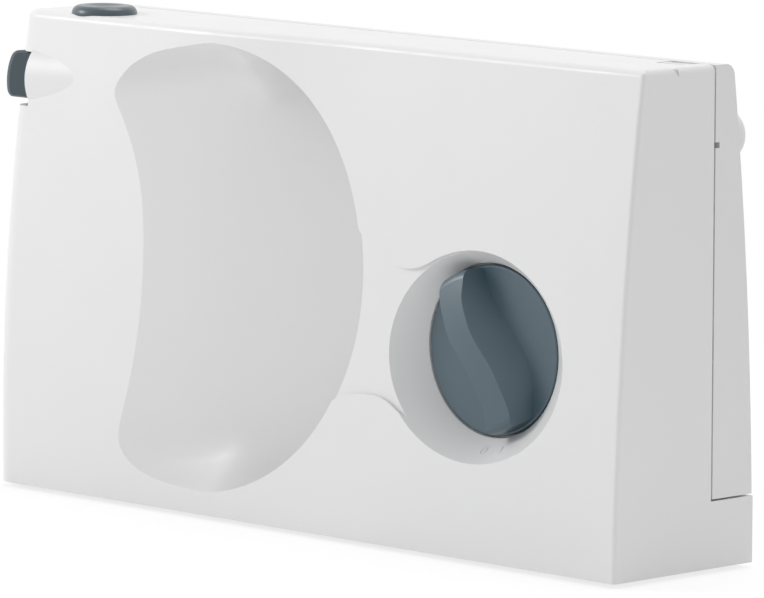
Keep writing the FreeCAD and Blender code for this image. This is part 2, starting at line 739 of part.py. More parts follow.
def worm():
    core_r = WORM_PITCH_R - 1.15 * MODULE
    tip_r = WORM_PITCH_R + 0.8 * MODULE
    turns = 5
    x0 = BLADE_X - WORM_LEAD * turns / 2
    wires = thread_sections(x0, x0 + WORM_LEAD * turns, core_r - 0.3, tip_r,
                            0.27 * WORM_LEAD, 0.13 * WORM_LEAD, WORM_LEAD,
                            -math.pi / 2)
    thread = Part.makeLoft(wires, True, True)
    core = rod_x(DRIVE_Y, WORM_Z, core_r, x0 - 3, x0 + WORM_LEAD * turns + 3)
    worm_body = core.fuse(thread)
    return worm_body.cut(rod_x(DRIVE_Y, WORM_Z, ROTOR_SHAFT_R, -200, 0))


def motor_can():
    can = rod_x(DRIVE_Y, WORM_Z, MOTOR_R, MOTOR_LEFT + 6, MOTOR_RIGHT)
    can = can.cut(rod_x(DRIVE_Y, WORM_Z, MOTOR_R - 1.5, MOTOR_LEFT, MOTOR_RIGHT - 1.5))
    can = can.cut(rod_x(DRIVE_Y, WORM_Z, 5.0, MOTOR_LEFT, MOTOR_RIGHT + 9))
    nose = rod_x(DRIVE_Y, WORM_Z, 6.5, MOTOR_RIGHT - 1.5, MOTOR_RIGHT + 2.5).cut(
        rod_x(DRIVE_Y, WORM_Z, 5.0, MOTOR_LEFT, MOTOR_RIGHT + 9))
    can = can.fuse(nose)
    for k in range(4):
        a = math.radians(45 + 90 * k)
        hole = Part.makeCylinder(2.2, 12, V(MOTOR_RIGHT - 6, DRIVE_Y + 12 * math.cos(a),
                                            WORM_Z + 12 * math.sin(a)), V(1, 0, 0))
        can = can.cut(hole)
    return can.removeSplitter()


def motor_bearing():
    return rod_x(DRIVE_Y, WORM_Z, 5.0, MOTOR_RIGHT - 1.5, MOTOR_RIGHT + 2.5).cut(
        rod_x(DRIVE_Y, WORM_Z, ROTOR_SHAFT_R + SHAFT_FIT, MOTOR_LEFT, 0))


def motor_end_cap():
    cap = rod_x(DRIVE_Y, WORM_Z, MOTOR_R - 1.5, MOTOR_LEFT + 3.5, MOTOR_LEFT + 9)
    rim = rod_x(DRIVE_Y, WORM_Z, MOTOR_R, MOTOR_LEFT + 3.5, MOTOR_LEFT + 6)
    boss = rod_x(DRIVE_Y, WORM_Z, 6.5, MOTOR_LEFT + 1.0, MOTOR_LEFT + 4)
    cap = join(cap, [rim, boss])
    cap = cap.cut(rod_x(DRIVE_Y, WORM_Z, ROTOR_SHAFT_R + SHAFT_FIT, MOTOR_LEFT - 2, 0))
    return cap.cut(rod_x(DRIVE_Y, WORM_Z, MOTOR_R - 6, MOTOR_LEFT + 6, MOTOR_LEFT + 12))


def magnets():
    ring = rod_x(DRIVE_Y, WORM_Z, MOTOR_R - 1.5, MOTOR_LEFT + 14, MOTOR_RIGHT - 5).cut(
        rod_x(DRIVE_Y, WORM_Z, MOTOR_R - 5.0, MOTOR_LEFT, MOTOR_RIGHT))
    gap = box(MOTOR_LEFT, MOTOR_RIGHT, DRIVE_Y - 5, DRIVE_Y + 5, 0, 200)
    return ring.cut(gap)


def brush_holders():
    parts = []
    for side in (-1, 1):
        z0, z1 = sorted((WORM_Z + side * 6.0, WORM_Z + side * 10.5))
        parts.append(box(MOTOR_LEFT + 9.2, MOTOR_LEFT + 13, DRIVE_Y - 2, DRIVE_Y + 2, z0, z1))
    return Part.makeCompound(parts)


def rotor_shaft():
    return rod_x(DRIVE_Y, WORM_Z, ROTOR_SHAFT_R, MOTOR_LEFT + 0.5, BLADE_X + 24.0)


def rotor_stack():
    stack = rod_x(DRIVE_Y, WORM_Z, ROTOR_R, MOTOR_LEFT + 18, MOTOR_RIGHT - 9)
    for k in range(5):
        a = math.radians(72 * k)
        slot = Part.makeBox(40, 3.0, 6.0)
        slot.translate(V(MOTOR_LEFT + 15, -1.5, ROTOR_R - 5.0))
        slot.rotate(V(0, 0, 0), V(1, 0, 0), math.degrees(a))
        slot.translate(V(0, DRIVE_Y, WORM_Z))
        stack = stack.cut(slot)
    commutator = rod_x(DRIVE_Y, WORM_Z, COMMUTATOR_R, MOTOR_LEFT + 8.7, MOTOR_LEFT + 18)
    stack = stack.fuse(commutator).removeSplitter()
    return stack.cut(rod_x(DRIVE_Y, WORM_Z, ROTOR_SHAFT_R, -200, 0))


# Bracket that ties the motor and the far end of the worm shaft together
def drive_bracket():
    x0 = MOTOR_RIGHT + 0.1
    plate = box(x0, x0 + 2.4, -20, WELL_BACK - 0.3, WORM_Z - 19, WORM_Z + 15)
    plate = plate.cut(rod_x(DRIVE_Y, WORM_Z, 6.6, -200, 0))
    end = box(BLADE_X + 19, BLADE_X + 22, -12.6, 8.6, WORM_Z - 9, WORM_Z + 3.6)
    rail = box(x0, BLADE_X + 22, 2.0, 5.0, WORM_Z - 14, WORM_Z - 7.5)
    foot = box(BLADE_X + 19, BLADE_X + 22, 2.0, 8.6, WORM_Z - 14, WORM_Z)
    bracket = join(plate, [end, rail, foot])
    return bracket.cut(rod_x(DRIVE_Y, WORM_Z, ROTOR_SHAFT_R + SHAFT_FIT, -100, 0))


# Dial: recessed disc with a raised grip that bends in an S.


# Closed outline through one column of the rows and its half turn
def grip_wire(y, column):
    right = [V(row[column], y, row[0]) for row in GRIP_ROWS]
    left = [V(-p.x, y, -p.z) for p in right]
    sides = []
    for points in (right, left):
        curve = Part.BSplineCurve()
        curve.interpolate(points)
        sides.append(curve.toShape())
    return Part.Wire([sides[0], Part.makeLine(right[-1], left[0]),
                      sides[1], Part.makeLine(left[-1], right[0])])


def knob_shape():
    y_back = KNOB_FACE + KNOB_DISC_T
    disc = rod_y(0, 0, KNOB_R, KNOB_FACE, y_back)
    disc = disc.makeFillet(0.9, [e for e in disc.Edges
                                 if e.BoundBox.YMax < KNOB_FACE + 0.01])
    ridge = Part.makeLoft([grip_wire(KNOB_FACE + 0.5, 1), grip_wire(RIDGE_TOP, 2)],
                          True, True)
    crown = Part.makeSphere(140.0, V(0, RIDGE_TOP + 140.0, 0))
    trim = rod_y(0, 0, GRIP_R, RIDGE_TOP - 1, KNOB_FACE + 0.5).common(crown)
    trim = trim.makeFillet(4.0, [e for e in trim.Edges
                                 if e.BoundBox.YMax < KNOB_FACE - 5
                                 and e.BoundBox.XLength > 2 * GRIP_R - 1])
    ridge = ridge.common(trim)
    shaft = rod_y(0, 0, KNOB_SHAFT_R, y_back - 0.5, DRUM_Y0)
    knob = join(disc, [ridge, shaft])
    return knob.cut(rod_y(0, 0, 2.0, DISH_FLOOR - 1.4, 0))


def thickness_knob():
    knob = knob_shape()
    knob.translate(V(KNOB_X, 0, KNOB_Z))
    return knob


def drum_groove():
    wires = []
    start, stop = -9.0, KNOB_TURN + 9.0
    half_w = (PIN_R + 0.12) / math.cos(math.atan(
        GAUGE_TRAVEL / (math.radians(KNOB_TURN) * DRUM_R)))
    count = 28
    for i in range(count + 1):
        turn = start + (stop - start) * i / count
        a = math.radians(90.0 - turn)
        y = PIN_Y - GAUGE_TRAVEL * turn / KNOB_TURN
        points = []
        for r, off in ((DRUM_CORE_R, -half_w), (DRUM_R + 2, -half_w),
                       (DRUM_R + 2, half_w), (DRUM_CORE_R, half_w)):
            points.append(V(KNOB_X + r * math.cos(a), y + off, KNOB_Z + r * math.sin(a)))
        wires.append(Part.makePolygon(points + [points[0]]))
    return Part.makeLoft(wires, True, False)


# Drum behind the dial whose helical groove drives the gauge plate
def thickness_drum():
    drum = rod_y(KNOB_X, KNOB_Z, DRUM_R, DRUM_Y0, DRUM_Y1)
    drum = drum.cut(drum_groove())
    drum = drum.cut(rod_y(KNOB_X, KNOB_Z, DRUM_CORE_R - 3, DRUM_Y0 + 3, 20))
    return drum.cut(rod_y(KNOB_X, KNOB_Z, 2.0, -60, 20))


def drum_screw():
    return screw((KNOB_X, DRUM_Y0 + 4.6, KNOB_Z), (0, -1, 0), 7.0, 4.0, 2.0, 1.6)


def gauge_plate():
    plate = box(GAUGE_LEFT, GAUGE_RIGHT, GAUGE_BACK, GAUGE_FACE, GAUGE_BOTTOM, GAUGE_TOP)
    plate = plate.cut(rod_y(BLADE_X, BLADE_Z, GAUGE_ARC_R, 0, 20))
    arm_z0 = KNOB_Z + DRUM_R + 1.2
    arm = box(KNOB_X - 5, KNOB_X + 5, PIN_Y - 3.0, GAUGE_BACK + 0.5, arm_z0, arm_z0 + 4.5)
    rib = box(KNOB_X - 1.5, KNOB_X + 1.5, 3.0, GAUGE_BACK + 0.5, arm_z0 + 3, arm_z0 + 16)
    bosses = [rod_y(x, z, 5.5, GAUGE_BACK - 4.0, GAUGE_BACK + 0.5) for x, z in RODS]
    plate = join(plate, [arm, rib] + bosses)
    plate = plate.cut(rod_z(KNOB_X, PIN_Y, PIN_R, arm_z0 - 1, arm_z0 + 3.5))
    for x, z in RODS:
        plate = plate.cut(rod_y(x, z, ROD_R, -20, GAUGE_BACK + 0.6))
    return biggest(plate)


def follower_pin():
    return rod_z(KNOB_X, PIN_Y, PIN_R, KNOB_Z + DRUM_CORE_R + 0.5, KNOB_Z + DRUM_R + 4.7)


def gauge_rods():
    return Part.makeCompound([rod_y(x, z, ROD_R, -12.5, GAUGE_BACK + 0.6)
                              for x, z in RODS])


def guide_bushes():
    return Part.makeCompound([
        rod_y(x, z, 5.0, -12.0, -4.0).cut(rod_y(x, z, ROD_R + SHAFT_FIT, -20, 0))
        for x, z in RODS])


# Wire spring as short straight runs of six-sided wire
def coil(centre, axis, r, wire_r, length, turns):
    steps = int(turns * COIL_RUNS)
    wires = []
    for i in range(steps + 1):
        a = 2 * math.pi * turns * i / steps
        rise = length * i / steps
        points = []
        for k in range(6):
            b = math.pi / 3 * k
            reach = r + wire_r * math.cos(b)
            points.append(V(reach * math.cos(a), reach * math.sin(a),
                            rise + wire_r * math.sin(b)))
        wires.append(Part.makePolygon(points + [points[0]]))
    spring = Part.makeLoft(wires, True, True)
    if axis == "x":
        spring.rotate(V(0, 0, 0), V(0, 1, 0), 90)
    spring.translate(V(*centre))
    return spring


# Buttons and their switches


def power_button():
    body = rod_z(POWER_X, POWER_Y, POWER_R, TOP - 5.0, POWER_TOP)
    body = body.makeFillet(3.2, [e for e in body.Edges
                                 if e.BoundBox.ZMin > POWER_TOP - 0.1])
    dimple = Part.makeSphere(30.0, V(POWER_X, POWER_Y, POWER_TOP + 30.0 - 1.1))
    body = body.cut(dimple)
    reach = POWER_R + 1.8
    flange = rod_z(POWER_X, POWER_Y, reach, TOP - 5.2, TOP - 3.8)
    flange = flange.common(box(POWER_X - reach, POWER_X + reach, POWER_Y - 9.0,
                               POWER_Y + reach, TOP - 6, TOP - 3))
    stem = rod_z(POWER_X, POWER_Y, 3.0, TOP - 14.0, TOP - 5.0)
    return join(body, [flange, stem])


# Outline of the side button's pad: bowed outer edge with rounded corners
def side_outline(y, inset, margin):
    z0, z1 = SIDE_Z0 + margin, SIDE_Z1 - margin
    bow_z = (SIDE_Z0 + SIDE_Z1) / 2 - 3.2
    bow_r = 21.0
    corner = 2.6 - margin
    points = []
    for z in grid_values(z0, z1, 17):
        near = min(z - z0, z1 - z, corner)
        turn = corner - math.sqrt(corner ** 2 - (corner - near) ** 2)
        bow = bow_r - math.sqrt(bow_r ** 2 - (z - bow_z) ** 2)
        points.append(V(-X_END - SIDE_PROUD + inset + bow + turn, y, z))
    curve = Part.BSplineCurve()
    curve.interpolate(points)
    low, high = V(SIDE_BACK, y, z0), V(SIDE_BACK, y, z1)
    return Part.Wire([curve.toShape(), Part.makeLine(points[-1], high),
                      Part.makeLine(high, low), Part.makeLine(low, points[0])])


def side_button():
    shoulder = SIDE_Y0 + 1.7
    bevel = Part.makeLoft([side_outline(SIDE_Y0, 3.3, 0.8),
                           side_outline(shoulder, 0.0, 0.0)], True, True)
    pad = Part.Face(side_outline(shoulder, 0.0, 0.0)).extrude(
        V(0, SIDE_Y1 - shoulder, 0))
    stem = box(SIDE_BACK - 0.5, SIDE_BACK + 12.5, SIDE_STEM_Y - 4, SIDE_STEM_Y + 4,
               SIDE_STEM_Z - 4.5, SIDE_STEM_Z + 4.5)
    return join(pad, [bevel, stem])


def stem_window():
    return box(SIDE_BACK, SIDE_BACK + 18.5,
               SIDE_STEM_Y - 4 - SLIDE_FIT, SIDE_STEM_Y + 4 + SLIDE_FIT,
               SIDE_STEM_Z - 4.5 - SLIDE_FIT, SIDE_STEM_Z + 4.5 + SLIDE_FIT)


def power_switch():
    body = box(POWER_X - 2.5, POWER_X + 14, POWER_Y - 4, POWER_Y + 4, TOP - 31, TOP - 18.5)
    lugs = [box(POWER_X - 1 + 6 * i, POWER_X + 1 + 6 * i, POWER_Y - 2, POWER_Y + 2,
                TOP - 35, TOP - 31) for i in range(3)]
    body = join(body, lugs)
    return body.cut(rod_z(POWER_X, POWER_Y, 1.5 + SLIDE_FIT, TOP - 27, TOP))


def power_plunger():
    return rod_z(POWER_X, POWER_Y, 1.5, TOP - 23.0, TOP - 14.1)


def side_switch():
    x0 = SIDE_BACK + 16.5
    x1 = x0 + 7.5
    body = box(x0, x1, SIDE_STEM_Y - 4, SIDE_STEM_Y + 4, SIDE_STEM_Z - 10, SIDE_STEM_Z + 10)
    lugs = [box(x1, x1 + 1.8, SIDE_STEM_Y - 2, SIDE_STEM_Y + 2,
                SIDE_STEM_Z - 8 + 7 * i, SIDE_STEM_Z - 6 + 7 * i) for i in range(3)]
    body = join(body, lugs)
    return body.cut(rod_x(SIDE_STEM_Y, SIDE_STEM_Z, 1.5 + SLIDE_FIT, x0 - 1, x0 + 5.8))


def side_plunger():
    return rod_x(SIDE_STEM_Y, SIDE_STEM_Z, 1.5, SIDE_BACK + 12.6, SIDE_BACK + 18.0)


# Inner carrier that holds both switches and the mains terminals
def switch_carrier():
    back = box(-158.5, -122, -8.0, -5.5, 128, 178)
    shelf = box(-146, -117.5, -21.0, -5.5, TOP - 38, TOP - 35.2)
    web = box(-120.2, -117.5, -19.6, -5.5, TOP - 38, TOP - 20)
    posts = [rod_y(-155, 134, 4.0, -6, GAP_PLANE - 2.6),
             rod_y(-128, 134, 4.0, -6, WELL_BACK - 0.1)]
    carrier = join(back, [shelf, web] + posts)
    carrier = carrier.cut(box(-153, -137.0, -25, -12.5, 150, 180.5))
    return carrier


def terminal_block():
    body = box(-150, -132, -19.5, -8.1, 136, 146)
    for i in range(3):
        body = body.cut(rod_z(-147 + 6 * i, -14.0, 1.6, 139, 150))
    return body


def cord_gland():
    neck = rod_z(GLAND_X, GLAND_Y, 5.0, FOOT_HEIGHT + 0.2, FOOT_HEIGHT + 9)
    top = rod_z(GLAND_X, GLAND_Y, 7.0, FOOT_HEIGHT + 2.7, FOOT_HEIGHT + 6)
    low = rod_z(GLAND_X, GLAND_Y, 6.6, FOOT_HEIGHT - 0.9, FOOT_HEIGHT + 0.2)
    gland = join(neck, [top, low])
    return gland.cut(rod_z(GLAND_X, GLAND_Y, 3.1, 0, 20))


# Folding table
def table_outer_y(z):
    u = (z - TABLE_BOTTOM) / (TOP - TABLE_BOTTOM)
    return TABLE_OUT_LOW + (TABLE_OUT_TOP - TABLE_OUT_LOW) * u + 4 * TABLE_BELLY * u * (1 - u)


def table_profile(inset, z0, z1, face):
    zs = grid_values(z0, z1, 7)
    curve = Part.BSplineCurve()
    curve.interpolate([V(0, table_outer_y(z) - inset, z) for z in zs])
    y_low = table_outer_y(z0) - inset
    y_high = table_outer_y(z1) - inset
    wire = Part.Wire([
        curve.toShape(),
        Part.makeLine(V(0, y_high, z1), V(0, face, z1)),
        Part.makeLine(V(0, face, z1), V(0, face, z0)),
        Part.makeLine(V(0, face, z0), V(0, y_low, z0)),
    ])
    return Part.Face(wire)


def table_block():
    body = table_profile(0.0, TABLE_BOTTOM, TOP, TABLE_FACE).extrude(V(2 * X_END, 0, 0))
    body.translate(V(-X_END, 0, 0))
    ends = prism([(left_end(0), 0, 0), (right_end(0), 0, 0),
                  (right_end(TOP), 0, TOP), (left_end(TOP), 0, TOP)], (0, 60, 0))
    body = body.common(ends)
    top_edges = [e for e in body.Edges
                 if e.BoundBox.ZMin > TOP - 0.01 and e.BoundBox.YMin > 24
                 and e.BoundBox.XLength > 100]
    body = body.makeFillet(TABLE_EDGE, top_edges)
    corners = [e for e in body.Edges
               if e.BoundBox.ZLength > 100 and e.BoundBox.YMin > TABLE_FACE + 1]
    left = [e for e in corners if e.BoundBox.XMax < 0]
    return body.makeFillet(TABLE_CORNER, left)


def table_foot(x):
    r = TABLE_FOOT_R
    y_end = TABLE_FOOT_END - TABLE_PAD_T + 0.2
    stud = rod_y(x, TABLE_FOOT_Z, r, DECK_FACE + DECK_T + 0.05, y_end)
    edge = [e for e in stud.Edges if e.BoundBox.YMin > y_end - 0.1]
    return stud.makeFillet(4.6, edge)


def table_shell():
    body = table_block()
    right_in = right_end(TOP) - TABLE_WALL
    tray = box(-right_in, right_in, 0, DECK_FACE, 0, TOP - TABLE_WALL)
    tongue = box(-TONGUE_HALF, TONGUE_HALF, DECK_FACE, TABLE_OUT_LOW,
                 TONGUE_BOTTOM, TABLE_BOTTOM + 3)
    low_edge = [e for e in tongue.Edges
                if abs(e.BoundBox.ZMax - TONGUE_BOTTOM) < 0.01
                and e.BoundBox.YMin > TABLE_OUT_LOW - 0.01]
    tongue = tongue.makeFillet(4.0, low_edge)
    body = body.cut(tray).fuse(tongue)
    rebate = box(-163.2, 162.6, 10, DECK_FACE + DECK_T, TABLE_BOTTOM + 4.0, 165.2)
    neck = box(-142.2, 142.2, 10, DECK_FACE + DECK_T, 15.8, TABLE_BOTTOM + 5.0)
    body = body.cut(rebate).cut(neck)
    hollow = table_profile(TABLE_WALL - 0.6, TABLE_BOTTOM + 8, 158.0, 20.0).extrude(
        V(316, 0, 0))
    hollow.translate(V(-158, 0, 0))
    throat = box(-138, 138, 20, TABLE_OUT_LOW - 2.6, 20.0, TABLE_BOTTOM + 10)
    hollow = hollow.fuse(throat)
    for x in RIB_XS:
        rib = box(x - 1.2, x + 1.2, 15, 60, 0, 96).fuse(
            box(x - 1.2, x + 1.2, 15, 60, 120, 200))
        hollow = hollow.cut(rib)
    body = body.cut(hollow)
    body = body.multiFuse([table_foot(TABLE_FOOT_X), table_foot(-TABLE_FOOT_X)])
    body = body.cut(box(-right_in, right_in, 0, DECK_FACE, 150, TOP - TABLE_WALL))
    for side in (-1, 1):
        x0, x1 = sorted((side * 140.0, side * (TONGUE_HALF + 2)))
        body = body.cut(rod_x(HINGE_Y, HINGE_Z, HINGE_PIN_R + 0.05, x0, x1))
    body = body.cut(box(LATCH_X0 - 1, LATCH_X1 + 1, 10, TABLE_FACE + 2.6,
                        TOP - 7.5, TOP - 2.0))
    body = body.cut(box(165, 175, 10, TABLE_FACE + 2.4, 165.0, 167.2))
    for x, z in DECK_SCREWS:
        body = body.cut(rod_y(x, z, 1.2, 20, 29))
    return biggest(body.removeSplitter())


def table_deck():
    plate = box(-163.0, 162.4, DECK_FACE, DECK_FACE + DECK_T, TABLE_BOTTOM + 4.2, 165.0)
    neck = box(-142.0, 142.0, DECK_FACE, DECK_FACE + DECK_T, 16.0, TABLE_BOTTOM + 6.0)
    deck = plate.fuse(neck)
    groove = box(-122.0, 124.0, 0, 60, GROOVE_Z - GROOVE_W / 2, GROOVE_Z + GROOVE_W / 2)
    deck = deck.cut(groove)
    for x, z in DECK_SCREWS:
        deck = deck.cut(rod_y(x, z, 1.7, 20, 29))
    return deck.removeSplitter()


def deck_screws():
    return Part.makeCompound([
        screw((x, DECK_FACE - 0.25, z), (0, 1, 0), 4.8, 2.2, 1.2, 0.25)
        for x, z in DECK_SCREWS])


def table_pads():
    pads = []
    for x in (TABLE_FOOT_X, -TABLE_FOOT_X):
        y = TABLE_FOOT_END - TABLE_PAD_T + 0.2
        pads.append(rod_y(x, TABLE_FOOT_Z, 4.8, y, TABLE_FOOT_END))
    return Part.makeCompound(pads)


def hinge_pins():
    pins = []
    for side in (-1, 1):
        x0, x1 = sorted((side * 141.0, side * (CHEEK_IN + WALL + 0.6)))
        pin = rod_x(HINGE_Y, HINGE_Z, HINGE_PIN_R, x0, x1)
        pins.append(pin)
    return Part.makeCompound(pins)


# Food carriage that slides along the table


def carriage_plate():
    y0, y1 = CARRIAGE_FACE, CARRIAGE_FACE + CARRIAGE_T
    plate = box(CARRIAGE_LEFT, CARRIAGE_RIGHT, y0, y1, CARRIAGE_BOTTOM, CARRIAGE_TOP)
    plate = plate.makeFillet(4.0, [e for e in plate.Edges if e.BoundBox.YLength > 1])
    for i in range(12):
        z = CARRIAGE_BOTTOM + 12 + 12.0 * i
        plate = plate.cut(box(CARRIAGE_LEFT + 8, CARRIAGE_RIGHT - 16, y0 - 1, y0 + 0.6,
                              z, z + 3.0))
    return plate


def carriage_fence():
    y1 = CARRIAGE_FACE
    fence = box(CARRIAGE_RIGHT - 9, CARRIAGE_RIGHT - 1, y1 - FENCE_H, y1,
                CARRIAGE_BOTTOM + 5, CARRIAGE_TOP - 5)
    return fence.makeFillet(1.4, [e for e in fence.Edges
                                  if e.BoundBox.YMax < y1 - FENCE_H + 0.01])


def carriage_runner():
    y1 = CARRIAGE_FACE + CARRIAGE_T
    half = GROOVE_W / 2 - SLIDE_FIT
    neck = box(62, 118, y1, DECK_FACE + DECK_T + 0.4, GROOVE_Z - half, GROOVE_Z + half)
    head = box(62, 118, DECK_FACE + DECK_T + 0.3, DECK_FACE + DECK_T + 2.6,
               GROOVE_Z - 7.5, GROOVE_Z + 7.5)
    return join(neck, [head])


# Sliding catch in the top of the upright


def table_catch():
    body = box(LATCH_X0, LATCH_X1, 5.6, GAP_PLANE - LATCH_TRAVEL - 0.2, TOP - 7.0, TOP - 0.2)
    hook = box(LATCH_X0 + 1.5, LATCH_X1 - 1.5, GAP_PLANE - LATCH_TRAVEL - 1, GAP_PLANE + 0.4,
               TOP - 6.6, TOP - 3.2)
    catch = join(body, [hook])
    for i in range(3):
        catch = catch.cut(box(LATCH_X0 + 2, LATCH_X1 - 2, 6.6 + 1.8 * i, 7.4 + 1.8 * i,
                              TOP - 0.8, TOP))
    return catch


def catch_rails():
    return box(LATCH_X0 - 3, LATCH_X1 + 3, 3.0, GAP_PLANE - 2.8, TOP - 9.4, TOP - 7.1)


def build():
    keep("housing_shell", housing_shell().cut(stem_window()))
    keep("rear_wall", rear_wall())
    keep("base_plate", base_plate())
    keep("rubber_feet", rubber_feet())
    keep("shell_screws", shell_screws())
    keep("base_screws", base_screws())
    keep("blade", blade())
    keep("blade_hub", blade_hub())
    keep("blade_cap", blade_cap())
    keep("bearing_bush", bearing_bush())
    keep("worm_wheel", worm_wheel())
    keep("worm", worm())
    keep("motor_can", motor_can())
    keep("motor_bearing", motor_bearing())
    keep("motor_end_cap", motor_end_cap())
    keep("motor_magnets", magnets())
    keep("brush_holders", brush_holders())
    keep("rotor_shaft", rotor_shaft())
    keep("rotor_stack", rotor_stack())
    keep("drive_bracket", drive_bracket())
    keep("thickness_knob", thickness_knob())
    keep("thickness_drum", thickness_drum())
    keep("drum_screw", drum_screw())
    keep("gauge_plate", gauge_plate())
    keep("follower_pin", follower_pin())
    keep("gauge_rods", gauge_rods())
    keep("guide_bushes", guide_bushes())
    keep("power_button", power_button())
    keep("side_button", side_button())
    keep("power_spring", coil((POWER_X, POWER_Y, TOP - 15.6), "z", 5.0, 0.6, 9.4, 4))
    keep("side_spring", coil((SIDE_BACK + 8.3, SIDE_STEM_Y, SIDE_STEM_Z), "x", 7.4, 0.6,
                             3.4, 2))
    keep("power_switch", power_switch())
    keep("power_plunger", power_plunger())
    keep("side_switch", side_switch())
    keep("side_plunger", side_plunger())
    keep("switch_carrier", switch_carrier())
    keep("terminal_block", terminal_block())
    keep("cord_gland", cord_gland())
    keep("table_shell", table_shell())
    keep("table_deck", table_deck())
    keep("deck_screws", deck_screws())
    keep("table_pads", table_pads())
    keep("hinge_pins", hinge_pins())
    keep("carriage_plate", carriage_plate())
    keep("carriage_fence", carriage_fence())
    keep("carriage_runner", carriage_runner())
    keep("table_catch", table_catch())
    keep("catch_tray", catch_rails())
    for name, shape in nodes.items():
        shape.exportStep("parts/" + name + ".step")


build()
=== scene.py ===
import math

import bmesh
import bpy
import numpy as np
from mathutils import Matrix, Vector


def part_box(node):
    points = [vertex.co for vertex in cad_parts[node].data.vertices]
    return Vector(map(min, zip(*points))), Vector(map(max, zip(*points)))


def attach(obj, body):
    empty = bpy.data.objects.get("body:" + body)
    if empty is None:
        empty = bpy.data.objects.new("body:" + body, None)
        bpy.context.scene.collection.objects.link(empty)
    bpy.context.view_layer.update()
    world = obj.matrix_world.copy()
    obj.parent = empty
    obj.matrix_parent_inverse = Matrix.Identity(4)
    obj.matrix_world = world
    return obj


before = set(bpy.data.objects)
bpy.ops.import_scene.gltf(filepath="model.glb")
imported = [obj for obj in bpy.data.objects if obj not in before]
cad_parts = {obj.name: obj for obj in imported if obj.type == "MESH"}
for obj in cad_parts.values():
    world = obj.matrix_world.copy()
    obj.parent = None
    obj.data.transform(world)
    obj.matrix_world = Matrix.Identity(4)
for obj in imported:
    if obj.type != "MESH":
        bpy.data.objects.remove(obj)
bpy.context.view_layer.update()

bl_info = {
    "name": "Folding Food Slicer",
    "version": (1, 0, 0),
    "blender": (4, 5, 0),
    "location": "3D View > Sidebar > Slicer",
    "description": "Finishes, dial numbers and studio for a food slicer folded for storage",
    "category": "Object",
}

MM = 0.001

# Where the CAD part has its blade, its dial and its motor
BLADE_LOW, BLADE_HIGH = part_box("blade")
BLADE_CENTRE = (BLADE_LOW + BLADE_HIGH) / 2
DIAL_LOW, DIAL_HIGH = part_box("thickness_knob")
DIAL_X = (DIAL_LOW.x + DIAL_HIGH.x) / 2
DIAL_Z = (DIAL_LOW.z + DIAL_HIGH.z) / 2
MOTOR_LOW, MOTOR_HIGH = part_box("motor_can")
MOTOR_AXIS = (MOTOR_LOW + MOTOR_HIGH) / 2

# The dish round the dial: its floor, its radius there, and how its wall opens towards the front
DISH_FLOOR_Y = -25.265 * MM
DISH_RADIUS = 34.3 * MM
DISH_DRIFT = 0.08
DISH_FLARE_X = 0.985
DISH_FLARE_Z = 0.55

# Where each dial number sits: its turn about the dial's axis and its distance in front of the floor
NOUGHT_TURN, NOUGHT_DEPTH = math.radians(-87.2), 7.2 * MM
ONE_TURN, ONE_DEPTH = math.radians(-74.0), 7.6 * MM

# Points round a stroke, and the points over which an open stroke's end thins out
STROKE_SIDES = 10
STROKE_TAPER = 2

# Width of the grain on parts that users don't see, on the black parts and on the controls
GEAR_GRAIN = 1.2 * MM
BLACK_GRAIN = 0.8 * MM
CONTROL_GRAIN = 0.7 * MM

# Lamps: place, width and height
LAMP_AIM = (0.0, 0.0, 0.1)
KEY_PLACE, KEY_SIZE = (-1.60, -1.35, 1.00), (0.8, 0.8)
TOP_PLACE, TOP_SIZE = (0.0, 0.45, 1.80), (1.2, 0.8)
SIDE_PLACE, SIDE_SIZE = (1.80, 0.70, 0.60), (1.0, 1.0)

# Floor: half its side, and the distances over which it fades to white
FLOOR_HALF = 16.0
FADE_START, FADE_END = 0.30, 0.75


def grey(level):
    return (level, level, level, 1.0)


# Colours and levels a user may change

class PlasticSettings(bpy.types.PropertyGroup):
    housing: bpy.props.FloatVectorProperty(
        name="Housing", description="Colour of the upright and the food carriage",
        size=4, subtype="COLOR", min=0, max=1, default=(0.800, 0.800, 0.800, 1))
    table: bpy.props.FloatVectorProperty(
        name="Table", description="Colour of the folding table",
        size=4, subtype="COLOR", min=0, max=1, default=(0.780, 0.775, 0.780, 1))
    inner: bpy.props.FloatVectorProperty(
        name="Inner parts", description="Colour of the plastic inside the housing",
        size=4, subtype="COLOR", min=0, max=1, default=(0.640, 0.640, 0.630, 1))
    dial: bpy.props.FloatVectorProperty(
        name="Dial", description="Colour of the thickness dial",
        size=4, subtype="COLOR", min=0, max=1, default=(0.053, 0.095, 0.123, 1))
    # Painted shade: the top button is the dial's blue-grey plastic made darker, to take back the
    # light that the top lamp throws on it
    top_button_painted_shade: bpy.props.FloatVectorProperty(
        name="Top button", description="Colour of the power button on top",
        size=4, subtype="COLOR", min=0, max=1, default=(0.036, 0.060, 0.076, 1))
    # Painted shade: the side button is the dial's blue-grey plastic made darker still, standing in
    # for the shade that falls on it
    side_button: bpy.props.FloatVectorProperty(
        name="Side button", description="Colour of the safety button on the end",
        size=4, subtype="COLOR", min=0, max=1, default=(0.022, 0.043, 0.056, 1))
    grain: bpy.props.FloatProperty(
        name="Grain", description="Width of the moulded grain",
        subtype="DISTANCE", unit="LENGTH", min=0.0001, max=0.01, default=0.0009)


class NumberSettings(bpy.types.PropertyGroup):
    height: bpy.props.FloatProperty(
        name="Height", description="Height of a dial number",
        subtype="DISTANCE", unit="LENGTH", min=0.001, max=0.01, default=0.0046)
    stroke: bpy.props.FloatProperty(
        name="Stroke", description="Width of a number's raised stroke",
        subtype="DISTANCE", unit="LENGTH", min=0.0001, max=0.002, default=0.0005)
    relief: bpy.props.FloatProperty(
        name="Relief", description="How far a stroke stands off the wall of the dish",
        subtype="DISTANCE", unit="LENGTH", min=0.00005, max=0.0005, default=0.00016)


